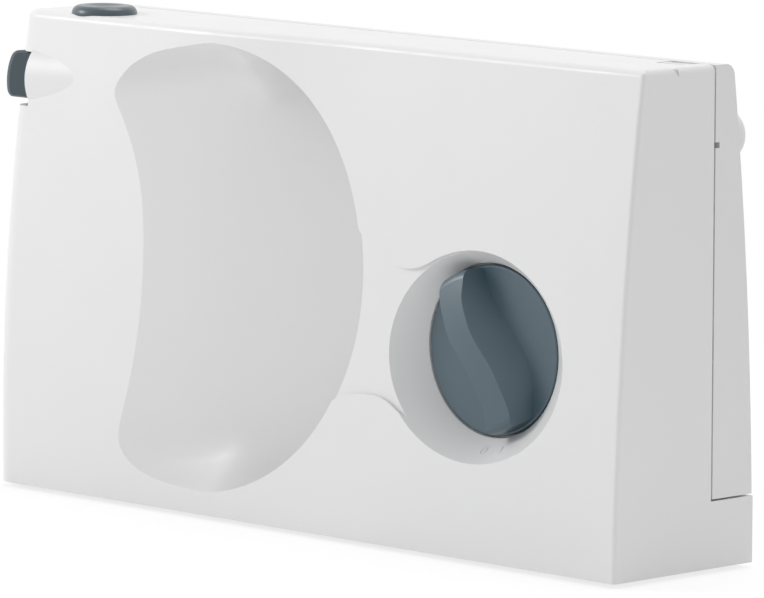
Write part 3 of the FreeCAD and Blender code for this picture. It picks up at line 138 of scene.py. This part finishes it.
class StudioSettings(bpy.types.PropertyGroup):
    azimuth: bpy.props.FloatProperty(
        name="Azimuth", description="Turn of the camera round the object",
        subtype="ANGLE", unit="ROTATION", default=math.radians(43.624))
    elevation: bpy.props.FloatProperty(
        name="Elevation", description="Height angle of the camera",
        subtype="ANGLE", unit="ROTATION", default=math.radians(7.308))
    roll: bpy.props.FloatProperty(
        name="Roll", description="Lean of the camera about its view",
        subtype="ANGLE", unit="ROTATION", default=math.radians(0.859))
    distance: bpy.props.FloatProperty(
        name="Distance", description="Distance from the camera to what it looks at",
        subtype="DISTANCE", unit="LENGTH", min=0.5, default=2.7955)
    focal: bpy.props.FloatProperty(
        name="Focal length", description="Focal length for a 36 mm wide sensor",
        subtype="DISTANCE_CAMERA", unit="CAMERA", min=20, default=330.48)
    aim: bpy.props.FloatVectorProperty(
        name="Aim", description="Point that the camera looks at",
        size=3, subtype="TRANSLATION", unit="LENGTH", default=(0.013583, -0.001165, 0.092125))
    key_power: bpy.props.FloatProperty(
        name="Key", description="Power of the lamp to the left of the front",
        subtype="POWER", unit="POWER", min=0, default=18.3)
    top_power: bpy.props.FloatProperty(
        name="Top", description="Power of the lamp above and a little behind",
        subtype="POWER", unit="POWER", min=0, default=11.0)
    side_power: bpy.props.FloatProperty(
        name="Side", description="Power of the lamp at the right-hand end",
        subtype="POWER", unit="POWER", min=0, default=1.5)
    sky: bpy.props.FloatProperty(
        name="Sky", description="Even light from all round", min=0, max=2, default=0.57)


# Node helpers

def place(tree, kind, inputs=None, **settings):
    """Adds a node, sets its options, and links or sets each named input."""
    made = tree.nodes.new(kind)
    for key, value in settings.items():
        setattr(made, key, value)
    for key, value in (inputs or {}).items():
        if isinstance(value, bpy.types.NodeSocket):
            tree.links.new(value, made.inputs[key])
        else:
            made.inputs[key].default_value = value
    return made


def math_node(tree, operation, a, b=0.0):
    return place(tree, "ShaderNodeMath", {0: a, 1: b}, operation=operation).outputs[0]


def remap(tree, value, from_low, from_high, to_low, to_high):
    return place(tree, "ShaderNodeMapRange", {
        "Value": value, "From Min": from_low, "From Max": from_high,
        "To Min": to_low, "To Max": to_high}).outputs["Result"]


def mix_colour(tree, factor, a, b, blend="MIX"):
    made = place(tree, "ShaderNodeMix", {"Factor": factor}, data_type="RGBA",
                 blend_type=blend)
    for index, value in ((6, a), (7, b)):
        if isinstance(value, bpy.types.NodeSocket):
            tree.links.new(value, made.inputs[index])
        else:
            made.inputs[index].default_value = value
    return made.outputs[2]


def start_group(name, inputs):
    """A shader group with the given inputs and the outputs Color, Roughness and Height."""
    tree = bpy.data.node_groups.new(name, "ShaderNodeTree")
    for label, kind, value in inputs:
        socket = tree.interface.new_socket(label, in_out="INPUT", socket_type=kind)
        socket.default_value = value
    tree.interface.new_socket("Color", in_out="OUTPUT", socket_type="NodeSocketColor")
    tree.interface.new_socket("Roughness", in_out="OUTPUT", socket_type="NodeSocketFloat")
    tree.interface.new_socket("Height", in_out="OUTPUT", socket_type="NodeSocketFloat")
    return tree, tree.nodes.new("NodeGroupInput"), tree.nodes.new("NodeGroupOutput")


COLOR, FLOAT, VECTOR = "NodeSocketColor", "NodeSocketFloat", "NodeSocketVector"


def moulded_skin():
    """Moulded plastic: slow drift of shade from the flow of the melt, a fine etched grain, and a
    slight change of gloss where hands have been."""
    tree, given, out = start_group("moulded_skin", [
        ("Color", COLOR, grey(0.8)), ("Drift", FLOAT, 0.02), ("Grain", FLOAT, 1100.0),
        ("Gloss Low", FLOAT, 0.3), ("Gloss High", FLOAT, 0.42)])
    coord = place(tree, "ShaderNodeTexCoord").outputs["Object"]
    flow = place(tree, "ShaderNodeTexNoise", {
        "Vector": coord, "Scale": 7.0, "Detail": 3.0, "Roughness": 0.45})
    shade = remap(tree, flow.outputs["Fac"], 0.3, 0.7, -1.0, 1.0)
    shade = math_node(tree, "MULTIPLY", shade, given.outputs["Drift"])
    level = math_node(tree, "ADD", shade, 1.0)
    scaled = place(tree, "ShaderNodeVectorMath", {
        0: given.outputs["Color"], "Scale": level}, operation="SCALE").outputs[0]
    grain = place(tree, "ShaderNodeTexNoise", {
        "Vector": coord, "Scale": given.outputs["Grain"], "Detail": 2.0, "Roughness": 0.6})
    hands = place(tree, "ShaderNodeTexNoise", {
        "Vector": coord, "Scale": 34.0, "Detail": 4.0, "Roughness": 0.6})
    gloss = remap(tree, hands.outputs["Fac"], 0.35, 0.65,
                  given.outputs["Gloss Low"], given.outputs["Gloss High"])
    tree.links.new(scaled, out.inputs["Color"])
    tree.links.new(gloss, out.inputs["Roughness"])
    tree.links.new(grain.outputs["Fac"], out.inputs["Height"])
    return tree


def drawn_metal():
    """Rolled or drawn metal: fine lines along one direction, made by a noise that is stretched
    by Line Scale, with the shade and the gloss following the lines."""
    tree, given, out = start_group("drawn_metal", [
        ("Color", COLOR, grey(0.6)), ("Line Scale", VECTOR, (8.0, 900.0, 900.0)),
        ("Contrast", FLOAT, 0.1), ("Gloss Low", FLOAT, 0.2), ("Gloss High", FLOAT, 0.38)])
    coord = place(tree, "ShaderNodeTexCoord").outputs["Object"]
    stretched = place(tree, "ShaderNodeVectorMath", {
        0: coord, 1: given.outputs["Line Scale"]}, operation="MULTIPLY").outputs[0]
    lines = place(tree, "ShaderNodeTexNoise", {
        "Vector": stretched, "Scale": 1.0, "Detail": 4.0, "Roughness": 0.65})
    return finish_lines(tree, given, out, lines.outputs["Fac"])


def turned_metal():
    """Turned metal: fine rings about an axis. The place less Centre is flattened by Plane, its
    length is the radius, and a one-way noise of the radius gives the rings."""
    tree, given, out = start_group("turned_metal", [
        ("Color", COLOR, grey(0.6)), ("Centre", VECTOR, (0, 0, 0)),
        ("Plane", VECTOR, (1, 0, 1)), ("Ring Scale", FLOAT, 1400.0),
        ("Contrast", FLOAT, 0.1), ("Gloss Low", FLOAT, 0.18), ("Gloss High", FLOAT, 0.34)])
    coord = place(tree, "ShaderNodeTexCoord").outputs["Object"]
    offset = place(tree, "ShaderNodeVectorMath", {
        0: coord, 1: given.outputs["Centre"]}, operation="SUBTRACT").outputs[0]
    flat = place(tree, "ShaderNodeVectorMath", {
        0: offset, 1: given.outputs["Plane"]}, operation="MULTIPLY").outputs[0]
    radius = place(tree, "ShaderNodeVectorMath", {0: flat}, operation="LENGTH").outputs[1]
    rings = place(tree, "ShaderNodeTexNoise", {
        "W": math_node(tree, "MULTIPLY", radius, given.outputs["Ring Scale"]),
        "Scale": 1.0, "Detail": 3.0, "Roughness": 0.7}, noise_dimensions="1D")
    return finish_lines(tree, given, out, rings.outputs["Fac"])


def finish_lines(tree, given, out, lines):
    """Turns a line pattern from 0 to 1 into shade, gloss and height."""
    swing = remap(tree, lines, 0.3, 0.7, -1.0, 1.0)
    swing = math_node(tree, "MULTIPLY", swing, given.outputs["Contrast"])
    level = math_node(tree, "ADD", swing, 1.0)
    scaled = place(tree, "ShaderNodeVectorMath", {
        0: given.outputs["Color"], "Scale": level}, operation="SCALE").outputs[0]
    gloss = remap(tree, lines, 0.3, 0.7,
                  given.outputs["Gloss Low"], given.outputs["Gloss High"])
    tree.links.new(scaled, out.inputs["Color"])
    tree.links.new(gloss, out.inputs["Roughness"])
    tree.links.new(lines, out.inputs["Height"])
    return tree


def mottled_skin():
    """Rubber, ferrite and wound copper: cloudy shade with small specks of a second colour."""
    tree, given, out = start_group("mottled_skin", [
        ("Color", COLOR, grey(0.1)), ("Speck Color", COLOR, grey(0.2)),
        ("Speck Scale", FLOAT, 900.0), ("Gloss Low", FLOAT, 0.55), ("Gloss High", FLOAT, 0.8)])
    coord = place(tree, "ShaderNodeTexCoord").outputs["Object"]
    cloud = place(tree, "ShaderNodeTexNoise", {
        "Vector": coord, "Scale": 90.0, "Detail": 4.0, "Roughness": 0.55})
    specks = place(tree, "ShaderNodeTexNoise", {
        "Vector": coord, "Scale": given.outputs["Speck Scale"], "Detail": 2.0,
        "Roughness": 0.5})
    amount = remap(tree, specks.outputs["Fac"], 0.5, 0.75, 0.0, 0.55)
    tint = mix_colour(tree, amount, given.outputs["Color"], given.outputs["Speck Color"])
    gloss = remap(tree, cloud.outputs["Fac"], 0.3, 0.7,
                  given.outputs["Gloss Low"], given.outputs["Gloss High"])
    tree.links.new(tint, out.inputs["Color"])
    tree.links.new(gloss, out.inputs["Roughness"])
    tree.links.new(specks.outputs["Fac"], out.inputs["Height"])
    return tree


EFFECTS = {}


def effect(name):
    """Builds a shared effect once and hands it to each finish that asks."""
    if name not in EFFECTS:
        EFFECTS[name] = {"moulded_skin": moulded_skin, "drawn_metal": drawn_metal,
                         "turned_metal": turned_metal, "mottled_skin": mottled_skin}[name]()
    return EFFECTS[name]


def finish(name, effect_name, values, relief, relief_depth, **shader_values):
    """A material whose shade, gloss and relief come from a shared effect. What is the same all
    over the surface is set on the shader itself."""
    material = bpy.data.materials.new(name)
    material.use_nodes = True
    tree = material.node_tree
    shader = tree.nodes["Principled BSDF"]
    skin = grouped(tree, effect_name, values)
    bump = place(tree, "ShaderNodeBump", {
        "Strength": relief, "Distance": relief_depth, "Height": skin.outputs["Height"]})
    tree.links.new(skin.outputs["Color"], shader.inputs["Base Color"])
    tree.links.new(skin.outputs["Roughness"], shader.inputs["Roughness"])
    tree.links.new(bump.outputs["Normal"], shader.inputs["Normal"])
    for label, value in shader_values.items():
        shader.inputs[label.replace("_", " ")].default_value = value
    return material


def grouped(tree, effect_name, values):
    made = tree.nodes.new("ShaderNodeGroup")
    made.node_tree = effect(effect_name)
    for label, value in values.items():
        made.inputs[label].default_value = value
    return made


def plastic(name, colour, grain, drift=0.015, low=0.3, high=0.42, **shader_values):
    values = {"Color": colour, "Drift": drift, "Grain": 1 / grain,
              "Gloss Low": low, "Gloss High": high}
    return finish(name, "moulded_skin", values, relief=0.25, relief_depth=0.00003,
                  **shader_values)


def lined(name, colour, line_scale, low, high):
    values = {"Color": colour, "Line Scale": line_scale, "Contrast": 0.1,
              "Gloss Low": low, "Gloss High": high}
    return finish(name, "drawn_metal", values, relief=0.2, relief_depth=0.00003,
                  Metallic=1.0)


def ringed(name, colour, centre, plane, low, high):
    values = {"Color": colour, "Centre": centre, "Plane": plane, "Ring Scale": 1400.0,
              "Contrast": 0.1, "Gloss Low": low, "Gloss High": high}
    return finish(name, "turned_metal", values, relief=0.2, relief_depth=0.00003,
                  Metallic=1.0)


def mottled(name, colour, speck, scale, low, high, **shader_values):
    values = {"Color": colour, "Speck Color": speck, "Speck Scale": scale,
              "Gloss Low": low, "Gloss High": high}
    return finish(name, "mottled_skin", values, relief=0.3, relief_depth=0.00004,
                  **shader_values)


def dress(material, nodes):
    for node in nodes:
        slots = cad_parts[node].data.materials
        slots.clear()
        slots.append(material)


def new_piece(name, points, faces, material, body):
    """Puts a computed surface into a mesh whose object sits at the origin, welds its poles and
    lets it ride."""
    mesh = bpy.data.meshes.new(name)
    mesh.from_pydata(points.reshape(-1, 3).tolist(), [], faces.tolist())
    shape = bmesh.new()
    shape.from_mesh(mesh)
    bmesh.ops.remove_doubles(shape, verts=shape.verts, dist=1e-7)
    bmesh.ops.recalc_face_normals(shape, faces=shape.faces)
    shape.to_mesh(mesh)
    shape.free()
    mesh.polygons.foreach_set("use_smooth", np.ones(len(mesh.polygons), bool))
    mesh.materials.append(material)
    piece = bpy.data.objects.new(name, mesh)
    bpy.context.scene.collection.objects.link(piece)
    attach(piece, body)
    return piece


def grid_faces(rows, columns, closed_rows, closed_columns):
    """Quads of a grid of points, row by row, joined round where a direction is closed."""
    i = np.arange(rows if closed_rows else rows - 1)
    j = np.arange(columns if closed_columns else columns - 1)
    i, j = [a.ravel() for a in np.meshgrid(i, j, indexing="ij")]
    i2, j2 = (i + 1) % rows, (j + 1) % columns
    return np.stack([i * columns + j, i * columns + j2, i2 * columns + j2,
                     i2 * columns + j], axis=1)


# Numbers on the wall of the dial's dish

def dish_wall(turn, depth, lift):
    """A point on the dish's wall. At each depth towards the front the wall is an ellipse round
    the dial's axis, whose half axes grow by the two flares and whose middle drifts by the
    drift, each times the depth. Lift stands off along the normal, the cross product of the
    way to the front and the way round."""
    c, s = np.cos(turn), np.sin(turn)
    half_x = DISH_RADIUS + DISH_FLARE_X * depth
    half_z = DISH_RADIUS + DISH_FLARE_Z * depth
    point = np.stack([DIAL_X + DISH_DRIFT * depth + half_x * c,
                      DISH_FLOOR_Y - depth, DIAL_Z + half_z * s], axis=-1)
    around = np.stack([-half_x * s, np.zeros_like(s), half_z * c], axis=-1)
    front = np.stack([DISH_DRIFT + DISH_FLARE_X * c, -np.ones_like(s),
                      DISH_FLARE_Z * s], axis=-1)
    normal = np.cross(front, around)
    normal /= np.linalg.norm(normal, axis=-1, keepdims=True)
    return point + lift[..., None] * normal


def nought_path():
    """The number 0: an ellipse 0.48 wide and 1 high, as points across and up."""
    t = np.linspace(0, 2 * math.pi, 48, endpoint=False)
    return np.stack([0.24 * np.cos(t), 0.5 * np.sin(t)], axis=1)


def one_path():
    """The number 1: a short flag up to the top and a stem down, sampled evenly."""
    t = np.linspace(0, 1.3, 40)
    across = np.interp(t, [0, 0.3, 1.3], [-0.2, 0.0, 0.0])
    up = np.interp(t, [0, 0.3, 1.3], [0.26, 0.5, -0.5])
    return np.stack([across, up], axis=1)


def raised_number(path, closed, turn, depth, s):
    """Carries a flat oval along a number's path on the dish's wall. Across the path it is half
    the stroke times the cosine, off the wall the relief times the sine, and at an open path's
    ends it shrinks to a point."""
    flat = path * s.height
    along = np.roll(flat, -1, 0) - np.roll(flat, 1, 0) if closed else np.gradient(flat, axis=0)
    along /= np.linalg.norm(along, axis=1, keepdims=True)
    side = np.stack([-along[:, 1], along[:, 0]], axis=1)
    swell = np.ones(len(flat))
    if not closed:
        steps = np.arange(len(flat))
        swell = np.clip(np.minimum(steps, steps[::-1]) / STROKE_TAPER, 0, 1)
    phase = np.linspace(0, 2 * math.pi, STROKE_SIDES, endpoint=False)
    spread = 0.5 * s.stroke * swell[:, None] * np.cos(phase)
    place_on = flat[:, None, :] + spread[..., None] * side[:, None, :]
    lift = s.relief * swell[:, None] * np.sin(phase)
    slope = math.hypot(1.0, DISH_FLARE_Z)
    reach = DISH_RADIUS + DISH_FLARE_Z * depth
    points = dish_wall(turn + place_on[..., 0] / reach, depth - place_on[..., 1] / slope, lift)
    return points.reshape(-1, 3), grid_faces(len(flat), len(phase), closed, True)


# Operators, one for each group of like pieces

class SLICER_OT_housing(bpy.types.Operator):
    """Finishes the white housing, its rear wall, plates and screws"""
    bl_idname = "slicer.housing"
    bl_label = "Housing"

    def execute(self, context):
        s = context.scene.slicer_plastic
        white = plastic("housing_white", s.housing, s.grain)
        dress(white, ["housing_shell", "rear_wall", "gauge_plate", "carriage_plate",
                      "carriage_fence", "table_catch"])
        inner = plastic("inner_grey", s.inner, s.grain, low=0.4, high=0.52)
        dress(inner, ["base_plate", "drive_bracket", "thickness_drum", "switch_carrier",
                      "catch_tray"])
        zinc = mottled("zinc_screws", (0.52, 0.53, 0.55, 1), (0.40, 0.42, 0.46, 1), 1500.0,
                       0.28, 0.45, Metallic=1.0)
        dress(zinc, ["shell_screws", "base_screws", "motor_can", "drum_screw",
                     "deck_screws"])
        rubber = mottled("foot_rubber", (0.035, 0.036, 0.038, 1), (0.07, 0.07, 0.075, 1),
                         700.0, 0.62, 0.85)
        dress(rubber, ["rubber_feet", "cord_gland", "table_pads"])
        return {"FINISHED"}


class SLICER_OT_table(bpy.types.Operator):
    """Finishes the folding table and its steel deck"""
    bl_idname = "slicer.table"
    bl_label = "Table"

    def execute(self, context):
        s = context.scene.slicer_plastic
        shell = plastic("table_white", s.table, s.grain)
        dress(shell, ["table_shell"])
        deck = lined("deck_steel", (0.56, 0.565, 0.57, 1), (14.0, 1400.0, 1400.0), 0.24, 0.4)
        dress(deck, ["table_deck"])
        return {"FINISHED"}


class SLICER_OT_blade(bpy.types.Operator):
    """Finishes the blade, its hub and its cap"""
    bl_idname = "slicer.blade"
    bl_label = "Blade"

    def execute(self, context):
        s = context.scene.slicer_plastic
        centre = tuple(BLADE_CENTRE)
        steel = ringed("blade_steel", (0.60, 0.605, 0.615, 1), centre, (1, 0, 1), 0.14, 0.28)
        dress(steel, ["blade"])
        dress(plastic("cap_grey", s.dial, s.grain, low=0.42, high=0.55), ["blade_cap"])
        return {"FINISHED"}


class SLICER_OT_drive(bpy.types.Operator):
    """Finishes the motor, the worm drive, the switches, springs and shafts"""
    bl_idname = "slicer.drive"
    bl_label = "Drive"

    def execute(self, context):
        axis = tuple(MOTOR_AXIS)
        steel = ringed("shaft_steel", (0.55, 0.55, 0.56, 1), axis, (0, 1, 1), 0.2, 0.36)
        dress(steel, ["blade_hub", "worm", "rotor_shaft", "follower_pin", "gauge_rods",
                      "power_spring", "side_spring", "hinge_pins"])
        brass = ringed("bearing_brass", (0.72, 0.52, 0.24, 1), axis, (0, 1, 1), 0.25, 0.4)
        dress(brass, ["bearing_bush", "motor_bearing", "brush_holders", "guide_bushes"])
        gear = plastic("gear_nylon", (0.78, 0.74, 0.62, 1), GEAR_GRAIN, low=0.32, high=0.45)
        dress(gear, ["worm_wheel", "power_plunger", "side_plunger", "terminal_block",
                     "carriage_runner"])
        black = plastic("switch_black", (0.030, 0.031, 0.034, 1), BLACK_GRAIN, drift=0.08,
                        low=0.4, high=0.55)
        dress(black, ["motor_end_cap", "power_switch", "side_switch"])
        ferrite = mottled("magnet_ferrite", (0.060, 0.058, 0.056, 1), (0.11, 0.10, 0.095, 1),
                          1200.0, 0.5, 0.7)
        dress(ferrite, ["motor_magnets"])
        copper = mottled("wound_copper", (0.62, 0.27, 0.13, 1), (0.40, 0.15, 0.07, 1),
                         1600.0, 0.3, 0.48, Metallic=1.0)
        dress(copper, ["rotor_stack"])
        return {"FINISHED"}


class SLICER_OT_controls(bpy.types.Operator):
    """Finishes the thickness dial and the two buttons"""
    bl_idname = "slicer.controls"
    bl_label = "Dial and buttons"

    def execute(self, context):
        s = context.scene.slicer_plastic
        dial = plastic("dial_grey", s.dial, CONTROL_GRAIN, drift=0.05, low=0.36, high=0.46,
                       Coat_Weight=0.6, Coat_Roughness=0.30)
        dress(dial, ["thickness_knob"])
        # Painted shade: the power button's colour is darker than the dial's plastic to cancel the
        # top lamp's light on it
        top = plastic("top_button_grey", s.top_button_painted_shade, CONTROL_GRAIN, drift=0.05, low=0.38,
                      high=0.5, Coat_Weight=0.6, Coat_Roughness=0.25)
        dress(top, ["power_button"])
        # Painted shade: the side button's colour is a darkened copy of the dial's plastic, standing
        # in for shade on the button
        side = plastic("side_button_painted_shade", s.side_button, CONTROL_GRAIN, drift=0.05, low=0.4,
                       high=0.52)
        dress(side, ["side_button"])
        return {"FINISHED"}


class SLICER_OT_numbers(bpy.types.Operator):
    """Raises the numbers 0 and 1 on the wall of the dish below the dial"""
    bl_idname = "slicer.numbers"
    bl_label = "Dial numbers"

    def execute(self, context):
        s = context.scene.slicer_numbers
        nought, nought_faces = raised_number(nought_path(), True, NOUGHT_TURN, NOUGHT_DEPTH, s)
        one, one_faces = raised_number(one_path(), False, ONE_TURN, ONE_DEPTH, s)
        points = np.concatenate([nought, one])
        faces = np.concatenate([nought_faces, one_faces + len(nought)])
        plastics = context.scene.slicer_plastic
        # Painted shade: the raised numbers are the housing's white plastic made greyer, standing in
        # for the faint shading of their relief
        number_grey_painted_shade = plastic("number_painted_shade", (0.70, 0.70, 0.70, 1), plastics.grain)
        new_piece("dial_numbers", points, faces, number_grey_painted_shade, "housing")
        return {"FINISHED"}


class SLICER_OT_studio(bpy.types.Operator):
    """Sets the camera, the floor and the soft lamps"""
    bl_idname = "slicer.studio"
    bl_label = "Studio"

    def execute(self, context):
        s = context.scene.slicer_studio
        set_camera(context.scene, s)
        set_floor()
        set_lamps(context.scene, s)
        return {"FINISHED"}


def set_camera(scene, s):
    """The view direction comes from azimuth and elevation, and the camera stands back from its
    aim along it. Roll turns its right and up directions about the view."""
    a, e, r = s.azimuth, s.elevation, s.roll
    view = Vector((-math.sin(a) * math.cos(e), math.cos(a) * math.cos(e), -math.sin(e)))
    right = Vector((math.cos(a), math.sin(a), 0))
    up = right.cross(view)
    right, up = (math.cos(r) * right + math.sin(r) * up,
                 math.cos(r) * up - math.sin(r) * right)
    place_at = Vector(s.aim) - view * s.distance
    turn = Matrix((right, up, -view)).transposed().to_4x4()
    data = bpy.data.cameras.new("camera")
    data.sensor_width = 36.0
    data.lens = s.focal
    data.clip_start = 0.05
    data.clip_end = 100.0
    camera = bpy.data.objects.new("camera", data)
    camera.matrix_world = Matrix.Translation(place_at) @ turn
    scene.collection.objects.link(camera)
    scene.camera = camera


def seen_directly(tree):
    """1 for a ray from the camera, from a glossy surface or through glass, else 0."""
    ray = place(tree, "ShaderNodeLightPath")
    direct = math_node(tree, "MAXIMUM", ray.outputs["Is Camera Ray"],
                       ray.outputs["Is Glossy Ray"])
    return math_node(tree, "MAXIMUM", direct, ray.outputs["Is Transmission Ray"])


def set_floor():
    """A pale floor that keeps the object's shadow near it and is plain white far from it."""
    u = np.array([-FLOOR_HALF, FLOOR_HALF])
    x, y = np.meshgrid(u, u, indexing="ij")
    points = np.stack([x, y, np.zeros_like(x)], axis=-1)
    mesh = bpy.data.meshes.new("floor")
    faces = grid_faces(2, 2, False, False)[:, ::-1]
    mesh.from_pydata(points.reshape(-1, 3).tolist(), [], faces.tolist())
    material = bpy.data.materials.new("floor_white")
    material.use_nodes = True
    tree = material.node_tree
    tree.nodes.clear()
    coord = place(tree, "ShaderNodeTexCoord").outputs["Object"]
    away = place(tree, "ShaderNodeVectorMath", {0: coord}, operation="LENGTH").outputs[1]
    far = place(tree, "ShaderNodeMapRange", {
        "Value": away, "From Min": FADE_START, "From Max": FADE_END, "To Min": 0.0, "To Max": 1.0},
        interpolation_type="SMOOTHSTEP").outputs["Result"]
    paper = place(tree, "ShaderNodeBsdfDiffuse", {"Color": grey(0.26)}).outputs[0]
    glow = place(tree, "ShaderNodeEmission", {
        "Color": grey(1.0), "Strength": 0.78}).outputs[0]
    near = place(tree, "ShaderNodeAddShader", {0: paper, 1: glow}).outputs[0]
    white = place(tree, "ShaderNodeEmission", {
        "Color": grey(1.0), "Strength": 1.0}).outputs[0]
    seen = place(tree, "ShaderNodeMixShader", {0: far, 1: near, 2: white}).outputs[0]
    plain = place(tree, "ShaderNodeBsdfDiffuse", {"Color": grey(0.95)}).outputs[0]
    surface = place(tree, "ShaderNodeMixShader", {
        0: seen_directly(tree), 1: plain, 2: seen}).outputs[0]
    place(tree, "ShaderNodeOutputMaterial", {"Surface": surface})
    mesh.materials.append(material)
    floor = bpy.data.objects.new("floor", mesh)
    bpy.context.scene.collection.objects.link(floor)


def soft_lamp(name, position, size, power):
    data = bpy.data.lights.new(name, "AREA")
    data.shape = "RECTANGLE"
    data.size, data.size_y = size
    data.energy = power
    lamp = bpy.data.objects.new(name, data)
    lamp.location = position
    toward = Vector(LAMP_AIM) - Vector(position)
    lamp.rotation_euler = toward.to_track_quat("-Z", "Y").to_euler()
    bpy.context.scene.collection.objects.link(lamp)


def set_lamps(scene, s):
    soft_lamp("lamp_key", KEY_PLACE, KEY_SIZE, s.key_power)
    soft_lamp("lamp_top", TOP_PLACE, TOP_SIZE, s.top_power)
    soft_lamp("lamp_side", SIDE_PLACE, SIDE_SIZE, s.side_power)
    world = bpy.data.worlds.new("studio")
    world.use_nodes = True
    tree = world.node_tree
    tree.nodes.clear()
    sky = place(tree, "ShaderNodeBackground", {"Color": grey(1.0), "Strength": s.sky})
    white = place(tree, "ShaderNodeBackground", {"Color": grey(1.0), "Strength": 1.0})
    mixed = place(tree, "ShaderNodeMixShader", {
        0: seen_directly(tree), 1: sky.outputs[0], 2: white.outputs[0]}).outputs[0]
    place(tree, "ShaderNodeOutputWorld", {"Surface": mixed})
    scene.world = world
    scene.view_settings.view_transform = "Standard"


class SLICER_PT_panel(bpy.types.Panel):
    bl_label = "Food slicer"
    bl_idname = "SLICER_PT_panel"
    bl_space_type = "VIEW_3D"
    bl_region_type = "UI"
    bl_category = "Slicer"

    def draw(self, context):
        layout = self.layout
        for operator in OPERATORS:
            layout.operator(operator.bl_idname)
        for group in (context.scene.slicer_plastic, context.scene.slicer_numbers,
                      context.scene.slicer_studio):
            column = layout.column(align=True)
            for key in group.__annotations__:
                column.prop(group, key)


OPERATORS = (SLICER_OT_housing, SLICER_OT_table, SLICER_OT_blade, SLICER_OT_drive,
             SLICER_OT_controls, SLICER_OT_numbers, SLICER_OT_studio)
SETTINGS = {"slicer_plastic": PlasticSettings, "slicer_numbers": NumberSettings,
            "slicer_studio": StudioSettings}


def register():
    for group in SETTINGS.values():
        bpy.utils.register_class(group)
    for operator in OPERATORS:
        bpy.utils.register_class(operator)
    bpy.utils.register_class(SLICER_PT_panel)
    for name, group in SETTINGS.items():
        setattr(bpy.types.Scene, name, bpy.props.PointerProperty(type=group))


def unregister():
    for name in SETTINGS:
        delattr(bpy.types.Scene, name)
    bpy.utils.unregister_class(SLICER_PT_panel)
    for operator in reversed(OPERATORS):
        bpy.utils.unregister_class(operator)
    for group in SETTINGS.values():
        bpy.utils.unregister_class(group)


def main():
    register()
    bpy.ops.slicer.housing()
    bpy.ops.slicer.table()
    bpy.ops.slicer.blade()
    bpy.ops.slicer.drive()
    bpy.ops.slicer.controls()
    bpy.ops.slicer.numbers()
    bpy.ops.slicer.studio()


if __name__ == "__main__":
    main()
